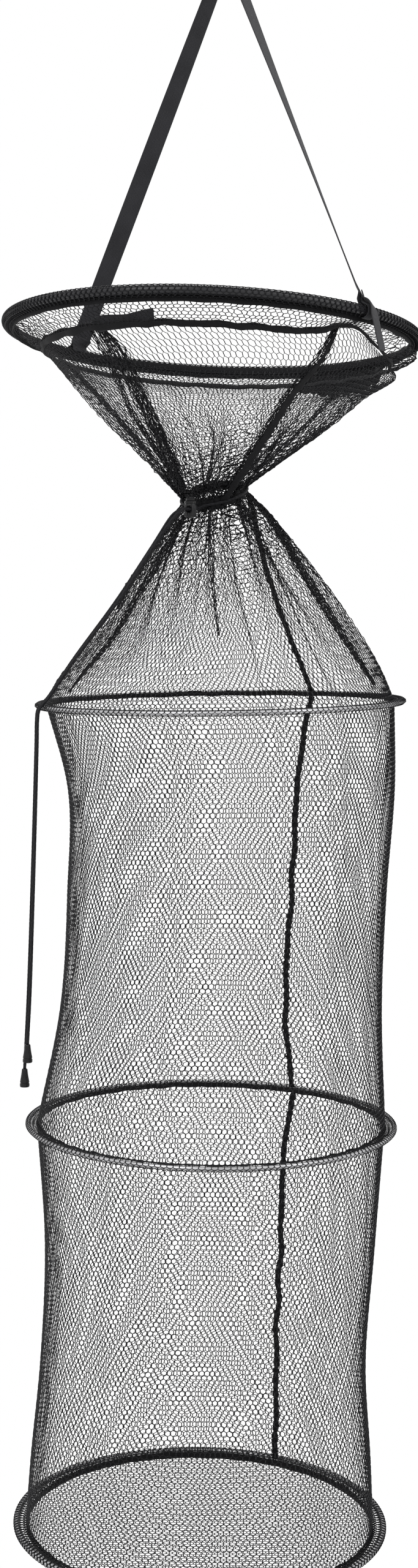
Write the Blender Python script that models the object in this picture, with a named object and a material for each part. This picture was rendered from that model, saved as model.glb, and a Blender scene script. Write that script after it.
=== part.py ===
"""Keep net: a long hooped net that hangs by a webbing strap and stands open in the water.

A wide mouth hoop carries a short netting cone down to a waist that a drawcord closes.
Below the waist the net widens again to three smaller hoops, the lowest with a netting base.
Metres, +Z up. The origin is the underside of the strap's top bend, where the net hangs.
The side with the cord lock faces -Y.
"""
import bmesh
import bpy
from math import acos, atan2, cos, degrees, hypot, pi, radians, sin, sqrt
from mathutils import Euler, Matrix, Vector

# Gaps between pieces that touch, and room around pieces that slide
GAP = 0.0003
SLIDE_ROOM = 0.0004

# Mouth hoop: drop below the hang point, sideways place and lean
MOUTH_DROP = 0.4021
MOUTH_SHIFT = -0.0160
MOUTH_ROLL_DEG = 2.7
MOUTH_PITCH_DEG = -5.2
MOUTH_HOOP_R = 0.2210
MOUTH_TUBE_R = 0.0045
MOUTH_TUBE_SIDES = 8
MOUTH_CLOTH = 0.0012

# Waist, drawn in by the cord
WAIST_BELOW_MOUTH = 0.1735
WAIST_SHIFT = -0.0140
WAIST_ROLL_DEG = -12.0
WAIST_PITCH_DEG = 17.0
WAIST_CORD_R = 0.0363

# Three thin hoops below the waist
HOOP_2_BELOW_WAIST = 0.2235
HOOP_3_BELOW_HOOP_2 = 0.4526
HOOP_4_BELOW_HOOP_3 = 0.4274
HOOP_2_SHIFT = -0.0073
HOOP_3_SHIFT = -0.0172
HOOP_4_SHIFT = -0.0294
HOOP_2_ROLL_DEG = -0.76
HOOP_3_ROLL_DEG = 0.76
HOOP_4_ROLL_DEG = 1.04
HOOP_R = 0.1965
HOOP_TUBE_R = 0.00225
BASE_TUBE_R = 0.0030
HOOP_TUBE_SIDES = 6

# Netting, hems and bindings
NET_THICKNESS = 0.0012
HOOP_CLOTH = 0.0008
POCKET_ROOM = 0.00035
LIP_GAP = 0.0008
HOOP_POCKET_DEPTH = 0.0115
MOUTH_POCKET_DEPTH = 0.0105
MOUTH_LIP_DROP_DEG = 33.0
CUFF_LENGTH = 0.0330
HEM_HEIGHT = 0.0050
HEM_THICKNESS = 0.0030
HEM_TAIL_START_DEG = 228.0
HEM_TAIL_END_DEG = 250.0
HEM_TAIL_HEIGHT = 0.0120
TAPE_THICKNESS = 0.0014
TAPE_HALF_HEIGHT = 0.0030
WALL_SEAT_IN = 0.0015
PATCH_START_DEG = 14.0
PATCH_END_DEG = 58.0
PATCH_HEIGHT = 0.0330
SEAM_WIDTH = 0.0060
SEAM_THICKNESS = 0.0012

# Net outlines between hoops: share of the way down, share of the change or of the hoop's
# radius, and sideways drift as a share of the hoop's radius
UPPER_CONE_SHARES = ((0.0, 1.0, 0.0), (0.12, 0.982, 0.078), (0.35, 0.749, 0.084),
                     (0.65, 0.410, 0.086), (1.0, 0.0, 0.0))
LOWER_CONE_SHARES = ((0.0, 0.0, 0.0), (0.35, 0.392, 0.0), (0.63, 0.680, 0.015),
                     (0.88, 0.930, -0.005), (1.0, 1.0, 0.0))
UPPER_WALL_SHARES = ((0.0, 1.0, 0.0), (0.19, 0.942, 0.068), (0.45, 0.918, 0.058),
                     (0.72, 0.924, 0.040), (1.0, 1.0, 0.0))
LOWER_WALL_SHARES = ((0.0, 1.0, 0.0), (0.30, 0.950, 0.013), (0.60, 0.938, -0.006),
                     (0.85, 0.981, -0.003), (1.0, 1.0, 0.0))

# Seam down the back of the net: bearings at the waist and at each hoop, seen from above
SEAM_WAIST_DEG = 52.0
SEAM_HOOP_2_DEG = 58.0
SEAM_HOOP_3_DEG = 67.0
SEAM_HOOP_4_DEG = 66.0

# Openings of the netting walls: a plain grid that stands for the much finer mesh
WALL_OPENINGS_ROUND = 18
WALL_OPENING_ROWS = 5
WALL_BAND = 0.0130

# Base netting
BASE_MESH_PITCH = 0.0320
BASE_STRAND = 0.0030
BASE_RIM = 0.0060

# Webbing strap
STRAP_WIDTH = 0.0200
STRAP_THICKNESS = 0.0015
STRAP_BEND_R = 0.0060
STRAP_BEARING_DEG = 315.0
STRAP_TAB = 0.0145
STRAP_END_GAP = 0.0005
STRAP_TWIST_LEFT_DEG = -45.0
STRAP_TWIST_RIGHT_DEG = -45.0
STRAP_LOOP_ROOM = 0.0006
STRAP_NECK_DEG = 25.0
STRAP_LIP_CLEAR_DEG = 44.0
STRAP_TAIL_TURNS_DEG = (40.0, 65.0, 90.0)
STRAP_TAIL_LENGTH = 0.0460
STRAP_ROUND_SHARES = (0.35, 0.70, 0.95)

# Drawcord, its lock and its bell ends
CORD_R = 0.00165
CORD_SPACING = 0.0037
CORD_CORNER_SHARE = 1.6
CORD_SPLAY_SHARE = 1.25
CORD_LEAD_SHARE = 2.1
CORD_TURN_SHARE = 0.55
CORD_TURN_OUT_SHARE = 0.40
CHANNEL_WALL = 0.0012
LOCK_BEARING_DEG = 243.0
LOCK_OUT = 0.0550
LOCK_DROP = 0.0042
LOCK_R = 0.0065
LOCK_HALF_HEIGHT = 0.0085
LOCK_WALL = 0.0013
PLUNGER_HEAD = 0.0040
PLUNGER_TRAVEL = 0.0025
LOCK_TRAVEL = 0.0080
SPRING_HEIGHT = 0.0028
BELL_TOP_R = 0.0030
BELL_FOOT_R = 0.0051
BELL_LENGTH = 0.0190
BELL_FOOT_SHARE = 0.72

# Fineness of round shapes
RING_STEPS = 36
WAIST_STEPS = 24
LOOP_STEPS = 10
LOCK_STEPS = 20
STRAP_STEPS = 8
BEND_STEPS = 8
CORD_STEP = 0.0330

# Routes of the drawcord's two tails, chosen by eye: from the lock's mouth down the cone and
# over the second hoop's rim, then hanging outside the lower hoops
RUN_1_ROUTE = ((-0.04804, -0.06287, -0.5925), (-0.0500, -0.0661, -0.5934), (-0.0602, -0.0660, -0.6020),
               (-0.0801, -0.0626, -0.6330), (-0.1177, -0.0666, -0.6900), (-0.1602, -0.0685, -0.7480),
               (-0.1857, -0.0667, -0.7862))
RUN_2_ROUTE = ((-0.04484, -0.06447, -0.5925), (-0.0470, -0.0687, -0.5933), (-0.0580, -0.0706, -0.6035),
               (-0.0786, -0.0668, -0.6335), (-0.1153, -0.0704, -0.6900), (-0.1585, -0.0722, -0.7480),
               (-0.1844, -0.0708, -0.7862))
TAIL_1_ROUTE = ((-0.1860, -0.0667, -0.7866), (-0.1929, -0.0676, -0.7950), (-0.1989, -0.0671, -0.8025),
                (-0.2007, -0.0668, -0.8150), (-0.2015, -0.0657, -0.8500), (-0.2048, -0.0630, -0.9600),
                (-0.2092, -0.0616, -1.0900), (-0.2135, -0.0605, -1.1806))
TAIL_2_ROUTE = ((-0.1847, -0.0708, -0.7866), (-0.1914, -0.0717, -0.7950), (-0.1972, -0.0715, -0.8025),
                (-0.1991, -0.0711, -0.8150), (-0.1998, -0.0704, -0.8500), (-0.2027, -0.0691, -0.9600),
                (-0.2067, -0.0691, -1.0900), (-0.2097, -0.0701, -1.1530))

COLOURS = {
    "mesh": ((0.035, 0.035, 0.037), 0.62, 0.0),
    "webbing": ((0.060, 0.060, 0.066), 0.75, 0.0),
    "tape": ((0.020, 0.020, 0.021), 0.70, 0.0),
    "hoop_tube": ((0.450, 0.450, 0.460), 0.30, 1.0),
    "coated_tube": ((0.040, 0.040, 0.043), 0.20, 0.0),
    "cord": ((0.050, 0.050, 0.054), 0.65, 0.0),
    "plastic": ((0.030, 0.030, 0.032), 0.28, 0.0),
    "spring_steel": ((0.550, 0.560, 0.580), 0.32, 1.0),
}


class Station:
    """A level of the net: a centre, a lean and the ring plane that they give."""

    def __init__(self, centre, roll_deg=0.0, pitch_deg=0.0):
        self.centre = Vector(centre)
        self.roll = radians(roll_deg)
        self.pitch = radians(pitch_deg)

    def turn(self):
        return Euler((self.pitch, self.roll, 0.0), "XYZ")

    def point(self, bearing_deg, radius, height=0.0):
        a = radians(bearing_deg)
        return self.centre + self.turn().to_matrix() @ Vector((radius * cos(a), radius * sin(a), height))

    def towards(self, other, share, drift=0.0):
        centre = self.centre.lerp(other.centre, share) + Vector((drift, 0.0, 0.0))
        roll = degrees(self.roll + (other.roll - self.roll) * share)
        pitch = degrees(self.pitch + (other.pitch - self.pitch) * share)
        return Station(centre, roll, pitch)


MOUTH = Station((MOUTH_SHIFT, 0.0, -MOUTH_DROP), MOUTH_ROLL_DEG, MOUTH_PITCH_DEG)
WAIST = Station((WAIST_SHIFT, 0.0, MOUTH.centre.z - WAIST_BELOW_MOUTH), WAIST_ROLL_DEG, WAIST_PITCH_DEG)
HOOP_2 = Station((HOOP_2_SHIFT, 0.0, WAIST.centre.z - HOOP_2_BELOW_WAIST), HOOP_2_ROLL_DEG)
HOOP_3 = Station((HOOP_3_SHIFT, 0.0, HOOP_2.centre.z - HOOP_3_BELOW_HOOP_2), HOOP_3_ROLL_DEG)
HOOP_4 = Station((HOOP_4_SHIFT, 0.0, HOOP_3.centre.z - HOOP_4_BELOW_HOOP_3), HOOP_4_ROLL_DEG)

# Sizes that follow from the driving ones
WALL_R = HOOP_R - HOOP_POCKET_DEPTH + WALL_SEAT_IN + GAP
LIP_HALF = LIP_GAP / 2 + HOOP_CLOTH
STRAP_LIFT = MOUTH_TUBE_R + POCKET_ROOM + MOUTH_CLOTH + STRAP_LOOP_ROOM + STRAP_TAB
PIVOT_OUT = STRAP_LIFT + STRAP_END_GAP + STRAP_WIDTH / 2


def clear_scene():
    for obj in list(bpy.data.objects):
        bpy.data.objects.remove(obj, do_unlink=True)


def material(name):
    found = bpy.data.materials.get(name)
    if found:
        return found
    colour, roughness, metallic = COLOURS[name]
    made = bpy.data.materials.new(name)
    made.use_nodes = True
    shader = made.node_tree.nodes["Principled BSDF"]
    shader.inputs["Base Color"].default_value = (*colour, 1.0)
    shader.inputs["Roughness"].default_value = roughness
    shader.inputs["Metallic"].default_value = metallic
    return made


def guide(name, place, parent=None):
    """An empty that carries one moving body, at a point on its joint's line."""
    empty = bpy.data.objects.new(name, None)
    bpy.context.scene.collection.objects.link(empty)
    empty["place"] = tuple(place)
    empty.location = Vector(place)
    if parent:
        empty.parent = parent
        empty.location = Vector(place) - Vector(parent["place"])
    return empty


def put(name, data, place, parent, slot, turn=None):
    """Link an object at a world place under its body's guide and give it its material."""
    obj = bpy.data.objects.new(name, data)
    bpy.context.scene.collection.objects.link(obj)
    obj.location = Vector(place)
    if parent:
        obj.parent = parent
        obj.location = Vector(place) - Vector(parent["place"])
    if turn:
        obj.rotation_euler = turn
    data.materials.append(material(slot))
    return obj


def mesh_object(name, verts, faces, place, parent, slot, turn=None, smooth_deg=40.0):
    """A closed mesh whose faces are made to point out."""
    shape = bmesh.new()
    made = [shape.verts.new(v) for v in verts]
    for face in faces:
        shape.faces.new([made[i] for i in face])
    bmesh.ops.recalc_face_normals(shape, faces=shape.faces)
    data = bpy.data.meshes.new(name)
    shape.to_mesh(data)
    shape.free()
    obj = put(name, data, place, parent, slot, turn)
    if data.polygons:
        data.shade_smooth()
        data.set_sharp_from_angle(angle=radians(smooth_deg))
    return obj


def loop_faces(rings, count, closed_rings):
    """Quads between rings of count points, with flat caps where the rings don't close."""
    faces = []
    last = rings if closed_rings else rings - 1
    for i in range(last):
        j = (i + 1) % rings
        for k in range(count):
            n = (k + 1) % count
            faces.append((i * count + k, i * count + n, j * count + n, j * count + k))
    if not closed_rings:
        faces.append(tuple(range(count)))
        faces.append(tuple(range((rings - 1) * count, rings * count)))
    return faces


def turned_ring(name, station, profile, parent, slot, steps=RING_STEPS):
    """A closed profile of (radius, height) points turned about a station's axis."""
    verts = []
    for i in range(steps):
        a = 2 * pi * i / steps
        verts += [Vector((r * cos(a), r * sin(a), z)) for r, z in profile]
    faces = loop_faces(steps, len(profile), True)
    return mesh_object(name, verts, faces, station.centre, parent, slot, station.turn())


def turned_arc(name, station, profile, start_deg, end_deg, parent, slot):
    """A closed profile carried round part of a station's circle, corner to corner of its facets."""
    first = round(start_deg * RING_STEPS / 360.0)
    count = max(2, round(end_deg * RING_STEPS / 360.0) - first) + 1
    verts = []
    for i in range(count):
        a = 2 * pi * (first + i) / RING_STEPS
        verts += [Vector((r * cos(a), r * sin(a), z)) for r, z in profile]
    faces = loop_faces(count, len(profile), False)
    return mesh_object(name, verts, faces, station.centre, parent, slot, station.turn())


def tube_profile(centre_r, tube_r, sides, toward_deg):
    """The section of a hoop's tube, one corner towards its pocket's mouth."""
    corners = []
    for k in range(sides):
        a = radians(toward_deg) + 2 * pi * k / sides
        corners.append((centre_r + tube_r * cos(a), tube_r * sin(a)))
    return corners


def pocket_profile(centre_r, tube_r, sides, toward_deg, depth, cloth):
    """The section of the netting pocket round a hoop: it wraps the tube and ends in two lips."""
    inner_r = tube_r + POCKET_ROOM
    outer_r = inner_r + cloth
    arc = [2 * pi * k / sides for k in range(1, sides)]
    local = [(depth, LIP_GAP / 2 + cloth)]
    local += [(outer_r * cos(a), outer_r * sin(a)) for a in arc]
    local += [(depth, -LIP_GAP / 2 - cloth), (depth, -LIP_GAP / 2)]
    local += [(inner_r * cos(a), inner_r * sin(a)) for a in reversed(arc)]
    local += [(depth, LIP_GAP / 2)]
    return turn_profile(local, centre_r, toward_deg)


def turn_profile(local, centre_r, toward_deg):
    t = radians(toward_deg)
    return [(centre_r + x * cos(t) - y * sin(t), x * sin(t) + y * cos(t)) for x, y in local]


def strip_profile(centre_r, toward_deg, near, far, half):
    """A flat strip's section, from near to far along one direction from the tube's centre."""
    local = [(near, half), (near, -half), (far, -half), (far, half)]
    return turn_profile(local, centre_r, toward_deg)


def ring_profile(inner_r, outer_r, low, high):
    return [(inner_r, low), (outer_r, low), (outer_r, high), (inner_r, high)]


def shell(name, sections, thickness, parent, slot, steps=RING_STEPS):
    """A thin tube of netting through (station, radius, height) sections, open at both ends."""
    origin = sections[0][0].centre
    walls = [(s, r, z) for s, r, z in sections]
    walls += [(s, r - thickness, z) for s, r, z in reversed(sections)]
    verts = []
    for i in range(steps):
        bearing = 360.0 * i / steps
        verts += [s.point(bearing, r, z) - origin for s, r, z in walls]
    faces = loop_faces(steps, len(walls), True)
    return mesh_object(name, verts, faces, origin, parent, slot)


def upright_bands():
    """Bearings of the netting walls' upright bands, corner by corner, the seam's wider one among them."""
    half = degrees(WALL_BAND / 2 / WALL_R)
    step = 360.0 / WALL_OPENINGS_ROUND
    seams = (SEAM_HOOP_2_DEG, SEAM_HOOP_3_DEG, SEAM_HOOP_4_DEG)
    start, end = min(seams) - half, max(seams) + half
    bands = [(start, (start + end) / 2, end)]
    for k in range(WALL_OPENINGS_ROUND):
        if not start - 2 * half < step * k < end + 2 * half:
            bands.append((step * k - half, step * k + half))
    return sorted(bands, key=lambda band: band[0])


def stitched_faces(first, first_bearings, second, second_bearings):
    """Triangles between two rings of corners whose bearings differ, walked round together."""
    faces = []
    i, j = 0, 0
    count, other = len(first_bearings), len(second_bearings)
    while i < count or j < other:
        next_i = first_bearings[(i + 1) % count] + 360.0 * ((i + 1) // count)
        next_j = second_bearings[(j + 1) % other] + 360.0 * ((j + 1) // other)
        if j == other or (i < count and next_i <= next_j):
            faces.append((first + i % count, first + (i + 1) % count, second + j % other))
            i += 1
        else:
            faces.append((first + i % count, second + (j + 1) % other, second + j % other))
            j += 1
    return faces


def netting_wall(name, top, bottom, shares, heights, parent):
    """A tube of netting between two hoops with a plain grid of openings, open at both ends."""
    bands = upright_bands()
    corners = [b for band in bands for b in band]
    seat = [360.0 * k / RING_STEPS for k in range(RING_STEPS)]
    sections = wall_sections(top, bottom, shares, heights)
    levels = [seat] + [corners] * (len(sections) - 2) + [seat]
    rings, verts = [], []
    origin = top.centre
    for inward in (0.0, NET_THICKNESS):
        side = []
        for (station, r, z), bearings in zip(sections, levels):
            side.append(len(verts))
            verts += [station.point(b, r - inward, z) - origin for b in bearings]
        rings.append(side)
    count, last = len(corners), len(levels) - 1
    faces = []
    for side in rings:
        faces += stitched_faces(side[0], seat, side[1], corners)
        faces += stitched_faces(side[last - 1], corners, side[last], seat)
        for row in range(1, last - 1):
            for k in solid_spans(bands, row % 2 == 0):
                n = (k + 1) % count
                faces.append((side[row] + k, side[row] + n, side[row + 1] + n, side[row + 1] + k))
    outer, inner = rings
    for row in (0, last):
        for k in range(RING_STEPS):
            n = (k + 1) % RING_STEPS
            faces.append((outer[row] + k, outer[row] + n, inner[row] + n, inner[row] + k))
    open_spans = set(range(count)) - set(solid_spans(bands, False))
    for row in range(1, last, 2):
        for k in sorted(open_spans):
            n = (k + 1) % count
            for level in (row, row + 1):
                faces.append((outer[level] + k, outer[level] + n, inner[level] + n, inner[level] + k))
            for spot in (k, n):
                faces.append((outer[row] + spot, outer[row + 1] + spot, inner[row + 1] + spot,
                              inner[row] + spot))
    return mesh_object(name, verts, faces, origin, parent, "mesh")


def solid_spans(bands, whole):
    """Spans between neighbouring corners that are netting: all of them, or the upright bands' own."""
    spans, k = [], 0
    for band in bands:
        spans += range(k, k + len(band) - 1)
        k += len(band)
    return list(range(k)) if whole else spans


def seam_strip(name, sections, start_deg, end_deg, parent):
    """A stitched tape down the outside of a netting tube, on the back of the net."""
    levels = [s.centre.z + z for s, r, z in sections]
    origin = sections[0][0].centre
    rows = []
    for level, (s, r, z) in zip(levels, sections):
        share = (levels[0] - level) / (levels[0] - levels[-1])
        bearing = start_deg + (end_deg - start_deg) * share
        half_deg = degrees(SEAM_WIDTH / 2 / r)
        rows.append([s.point(bearing + turn, r + out, z) - origin
                     for turn, out in ((-half_deg, GAP), (half_deg, GAP), (half_deg, GAP + SEAM_THICKNESS),
                                       (-half_deg, GAP + SEAM_THICKNESS))])
    # Both ends stop short of the hoops' pockets, which slope out over the netting
    for end, inner in ((0, 1), (-1, -2)):
        trim = SEAM_THICKNESS / (rows[inner][0] - rows[end][0]).length
        rows[end] = [p.lerp(q, trim) for p, q in zip(rows[end], rows[inner])]
    verts = [p for row in rows for p in row]
    faces = loop_faces(len(sections), 4, False)
    return mesh_object(name, verts, faces, origin, parent, "tape")


def smooth_route(points, step):
    """Points a step apart on a smooth curve through a hand-chosen route."""
    pts = [Vector(p) for p in points]
    ends = [pts[0] * 2 - pts[1]] + pts + [pts[-1] * 2 - pts[-2]]
    out = []
    for i in range(1, len(ends) - 2):
        p0, p1, p2, p3 = ends[i - 1:i + 3]
        count = max(1, round((p2 - p1).length / step))
        for k in range(count):
            t = k / count
            out.append(0.5 * (2 * p1 + (p2 - p0) * t + (2 * p0 - 5 * p1 + 4 * p2 - p3) * t * t
                              + (3 * p1 - p0 - 3 * p2 + p3) * t * t * t))
    out.append(pts[-1])
    return out


def cord(name, points, parent):
    """A round cord along its points, with filled ends."""
    origin = points[0]
    curve = bpy.data.curves.new(name, "CURVE")
    curve.dimensions = "3D"
    curve.bevel_depth = CORD_R
    curve.bevel_resolution = 2
    curve.use_fill_caps = True
    curve.twist_mode = "MINIMUM"
    spline = curve.splines.new("POLY")
    spline.points.add(len(points) - 1)
    for spot, p in zip(spline.points, points):
        spot.co = (*(p - origin), 1.0)
    return put(name, curve, origin, parent, "cord")


def lathe(name, station_point, profile, parent, slot, turn=None, steps=LOCK_STEPS):
    """A solid of revolution about a vertical axis, closed on the axis at both ends."""
    shape = bmesh.new()
    rings = []
    for r, z in profile:
        rings.append([shape.verts.new((r * cos(2 * pi * k / steps), r * sin(2 * pi * k / steps), z))
                      for k in range(steps)])
    for low, high in zip(rings, rings[1:]):
        for k in range(steps):
            n = (k + 1) % steps
            shape.faces.new((low[k], low[n], high[n], high[k]))
    shape.faces.new(rings[0])
    shape.faces.new(rings[-1])
    bmesh.ops.recalc_face_normals(shape, faces=shape.faces)
    data = bpy.data.meshes.new(name)
    shape.to_mesh(data)
    shape.free()
    obj = put(name, data, station_point, parent, slot, turn)
    data.shade_smooth()
    data.set_sharp_from_angle(angle=radians(40.0))
    return obj


def cut(obj, cutter):
    """Take the cutter's shape out of an object and hide the cutter."""
    cutter.hide_render = True
    cutter.display_type = "WIRE"
    hole = obj.modifiers.new("hole", "BOOLEAN")
    hole.operation = "DIFFERENCE"
    hole.object = cutter
    hole.solver = "EXACT"


def box_cutter(name, centre, size, spin, parent):
    """A block used only to cut a slot."""
    x, y, z = (s / 2 for s in size)
    verts = [(a * x, b * y, c * z) for a in (-1, 1) for b in (-1, 1) for c in (-1, 1)]
    faces = [(0, 1, 3, 2), (4, 6, 7, 5), (0, 4, 5, 1), (2, 3, 7, 6), (0, 2, 6, 4), (1, 5, 7, 3)]
    return mesh_object(name, verts, faces, centre, parent, "plastic", Euler((0.0, 0.0, spin)))


# Mouth hoop, its pocket and the cuff below it

def lip_direction():
    return 180.0 + MOUTH_LIP_DROP_DEG


def cuff_end():
    return MOUTH_POCKET_DEPTH + GAP + CUFF_LENGTH


def hem_span():
    start = cuff_end() + GAP
    return start, start + HEM_HEIGHT


def hem_foot():
    """The lowest height and the radius of the hem band, where the cone's netting starts."""
    profile = strip_profile(MOUTH_HOOP_R, lip_direction(), *hem_span(), HEM_THICKNESS / 2)
    low = min(z for r, z in profile)
    middle = sum(r for r, z in profile[2:]) / 2
    return low, middle


def add_mouth(body):
    turned_ring("mouth_hoop", MOUTH,
                tube_profile(MOUTH_HOOP_R, MOUTH_TUBE_R, MOUTH_TUBE_SIDES, lip_direction()),
                body, "coated_tube")
    turned_ring("mouth_pocket", MOUTH,
                pocket_profile(MOUTH_HOOP_R, MOUTH_TUBE_R, MOUTH_TUBE_SIDES, lip_direction(),
                               MOUTH_POCKET_DEPTH, MOUTH_CLOTH), body, "mesh")
    turned_ring("cuff_net", MOUTH,
                strip_profile(MOUTH_HOOP_R, lip_direction(), MOUTH_POCKET_DEPTH + GAP, cuff_end(),
                              NET_THICKNESS / 2), body, "mesh")
    turned_ring("cuff_hem", MOUTH,
                strip_profile(MOUTH_HOOP_R, lip_direction(), *hem_span(), HEM_THICKNESS / 2),
                body, "tape")
    start, end = hem_span()
    middle = (start + end) / 2
    side = HEM_THICKNESS / 2 + GAP
    tail = [(middle - HEM_TAIL_HEIGHT / 2, -side), (middle - HEM_TAIL_HEIGHT / 2, -side - TAPE_THICKNESS),
            (middle + HEM_TAIL_HEIGHT / 2, -side - TAPE_THICKNESS), (middle + HEM_TAIL_HEIGHT / 2, -side)]
    turned_arc("hem_tape_tail", MOUTH, turn_profile(tail, MOUTH_HOOP_R, lip_direction()),
               HEM_TAIL_START_DEG, HEM_TAIL_END_DEG, body, "webbing")
    patch_start = MOUTH_POCKET_DEPTH
    patch = [(patch_start, side), (patch_start, side + TAPE_THICKNESS),
             (patch_start + PATCH_HEIGHT, side + TAPE_THICKNESS), (patch_start + PATCH_HEIGHT, side)]
    turned_arc("cuff_patch", MOUTH, turn_profile(patch, MOUTH_HOOP_R, lip_direction()),
               PATCH_START_DEG, PATCH_END_DEG, body, "webbing")


# Strap: one webbing over the hang point, its two ends looped round the mouth hoop

def strap_bearing():
    """The bearing of the strap's right foot, at the middle of one of the hoop's facets."""
    facet = 360.0 / RING_STEPS
    return (round(STRAP_BEARING_DEG / facet - 0.5) + 0.5) * facet


def strap_foot(bearing_deg):
    """Where the strap meets the mouth hoop and the direction that it leaves in."""
    foot = MOUTH.point(bearing_deg, MOUTH_HOOP_R * cos(pi / RING_STEPS))
    top = Vector((0.0, 0.0, -STRAP_BEND_R))
    return foot, (top - foot).normalized()


def strap_pivot(bearing_deg):
    foot, way = strap_foot(bearing_deg)
    return foot + way * PIVOT_OUT


def strap_axis():
    right = strap_pivot(strap_bearing())
    left = strap_pivot(strap_bearing() - 180.0)
    return left, right


def strap_line():
    """Centre line points of the webbing with the width direction at each."""
    left, right = strap_axis()
    across = right - left
    across.z = 0.0
    across.normalize()
    width = Vector((0.0, 0.0, 1.0)).cross(across)
    centre = Vector((0.0, 0.0, -STRAP_BEND_R))
    bend = STRAP_BEND_R + STRAP_THICKNESS / 2

    def tangent_angle(foot, side):
        flat = (foot - centre).dot(across) * side
        drop = centre.z - foot.z
        far = sqrt(flat * flat + drop * drop)
        return acos(bend / far) - atan2(drop, flat)

    line = []
    a_left = tangent_angle(left, -1)
    a_right = tangent_angle(right, 1)
    start = centre + (-across * cos(a_left) + Vector((0, 0, 1)) * sin(a_left)) * bend
    stop = centre + (across * cos(a_right) + Vector((0, 0, 1)) * sin(a_right)) * bend
    way = (start - left).normalized()
    for k in range(STRAP_STEPS):
        share = k / STRAP_STEPS
        line.append((left.lerp(start, share), STRAP_TWIST_LEFT_DEG * (1 - share), way))
    for k in range(BEND_STEPS + 1):
        a = (pi - a_left) + (a_right - (pi - a_left)) * k / BEND_STEPS
        spot = centre + (across * cos(a) + Vector((0, 0, 1)) * sin(a)) * bend
        line.append((spot, 0.0, across * sin(a) - Vector((0, 0, 1)) * cos(a)))
    way = (right - stop).normalized()
    for k in range(1, STRAP_STEPS + 1):
        share = k / STRAP_STEPS
        line.append((stop.lerp(right, share), STRAP_TWIST_RIGHT_DEG * share, way))
    return line, width


def rounded_end(spot, twist, way, outward):
    """Sections that round off the webbing's end beyond its pivot."""
    sections = []
    for share in STRAP_ROUND_SHARES:
        half = STRAP_WIDTH / 2 * sqrt(1 - share * share)
        sections.append((spot + way * outward * STRAP_WIDTH / 2 * share, twist, way, half))
    return sections


def add_strap():
    line, width = strap_line()
    half = STRAP_WIDTH / 2
    sections = [(*item, half) for item in line]
    first, last = line[0], line[-1]
    sections = list(reversed(rounded_end(*first, -1))) + sections + rounded_end(*last, 1)
    verts = []
    for spot, twist, way, half_width in sections:
        side = Matrix.Rotation(radians(twist), 3, way) @ (width - way * width.dot(way)).normalized()
        face = way.cross(side).normalized() * STRAP_THICKNESS / 2
        verts += [spot + side * half_width + face, spot + side * half_width - face,
                  spot - side * half_width - face, spot - side * half_width + face]
    mesh_object("strap", verts, loop_faces(len(sections), 4, False), Vector((0.0, 0.0, 0.0)),
                None, "webbing")


def strap_frame(bearing_deg):
    """At a strap's foot: its place, the ways out of the mouth, up the strap and along the hoop."""
    foot, way = strap_foot(bearing_deg)
    a = radians(bearing_deg)
    tangent = MOUTH.turn().to_matrix() @ Vector((-sin(a), cos(a), 0.0))
    up = (way - tangent * way.dot(tangent)).normalized()
    return foot, tangent.cross(up).normalized(), up, tangent


def lip_turn(bearing_deg, out, up):
    """The angle from the strap's way up, over the inside, to the pocket's lips."""
    a = radians(bearing_deg)
    lip = radians(lip_direction())
    lips = MOUTH.turn().to_matrix() @ Vector((cos(a) * cos(lip), sin(a) * cos(lip), sin(lip)))
    return atan2(-lips.dot(out), lips.dot(up))


def add_strap_end(name, bearing_deg, body):
    """The webbing's end, doubled at the strap's foot and sewn round the hoop to the cuff."""
    foot, out, up, tangent = strap_frame(bearing_deg)
    loop_r = loop_inner() + STRAP_THICKNESS / 2
    layer = (STRAP_THICKNESS + GAP) / 2
    neck = radians(STRAP_NECK_DEG)
    lips = lip_turn(bearing_deg, out, up)
    clear = radians(STRAP_LIP_CLEAR_DEG)
    path = [(-loop_r * sin(lips - clear), loop_r * cos(lips - clear))]
    path += [(-loop_r * sin(neck), loop_r * cos(neck)), (-layer, loop_r + STRAP_THICKNESS),
             (-layer, STRAP_LIFT - STRAP_THICKNESS / 2), (layer, STRAP_LIFT - STRAP_THICKNESS / 2),
             (layer, loop_r + STRAP_THICKNESS)]
    for k in range(LOOP_STEPS + 1):
        t = 2 * pi - neck + (lips + clear - 2 * pi + neck) * k / LOOP_STEPS
        path.append((-loop_r * sin(t), loop_r * cos(t)))
    outline = ribbon_outline(path, STRAP_THICKNESS / 2)
    extrude_outline(name, foot, outline, out, up, tangent, STRAP_WIDTH / 2, body)


def loop_inner():
    return MOUTH_TUBE_R + POCKET_ROOM + MOUTH_CLOTH + STRAP_LOOP_ROOM


def ribbon_outline(path, half):
    """The outline of a ribbon's edge-on section along a path."""
    left, right = [], []
    for i, p in enumerate(path):
        before = path[max(i - 1, 0)]
        after = path[min(i + 1, len(path) - 1)]
        d1 = Vector((p[0] - before[0], p[1] - before[1]))
        d2 = Vector((after[0] - p[0], after[1] - p[1]))
        d1 = d1.normalized() if d1.length else d2.normalized()
        d2 = d2.normalized() if d2.length else d1
        mean = (d1 + d2).normalized()
        reach = half / max(mean.dot(d1), 0.5)
        side = Vector((-mean.y, mean.x)) * reach
        left.append((p[0] + side.x, p[1] + side.y))
        right.append((p[0] - side.x, p[1] - side.y))
    return left + list(reversed(right))


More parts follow.
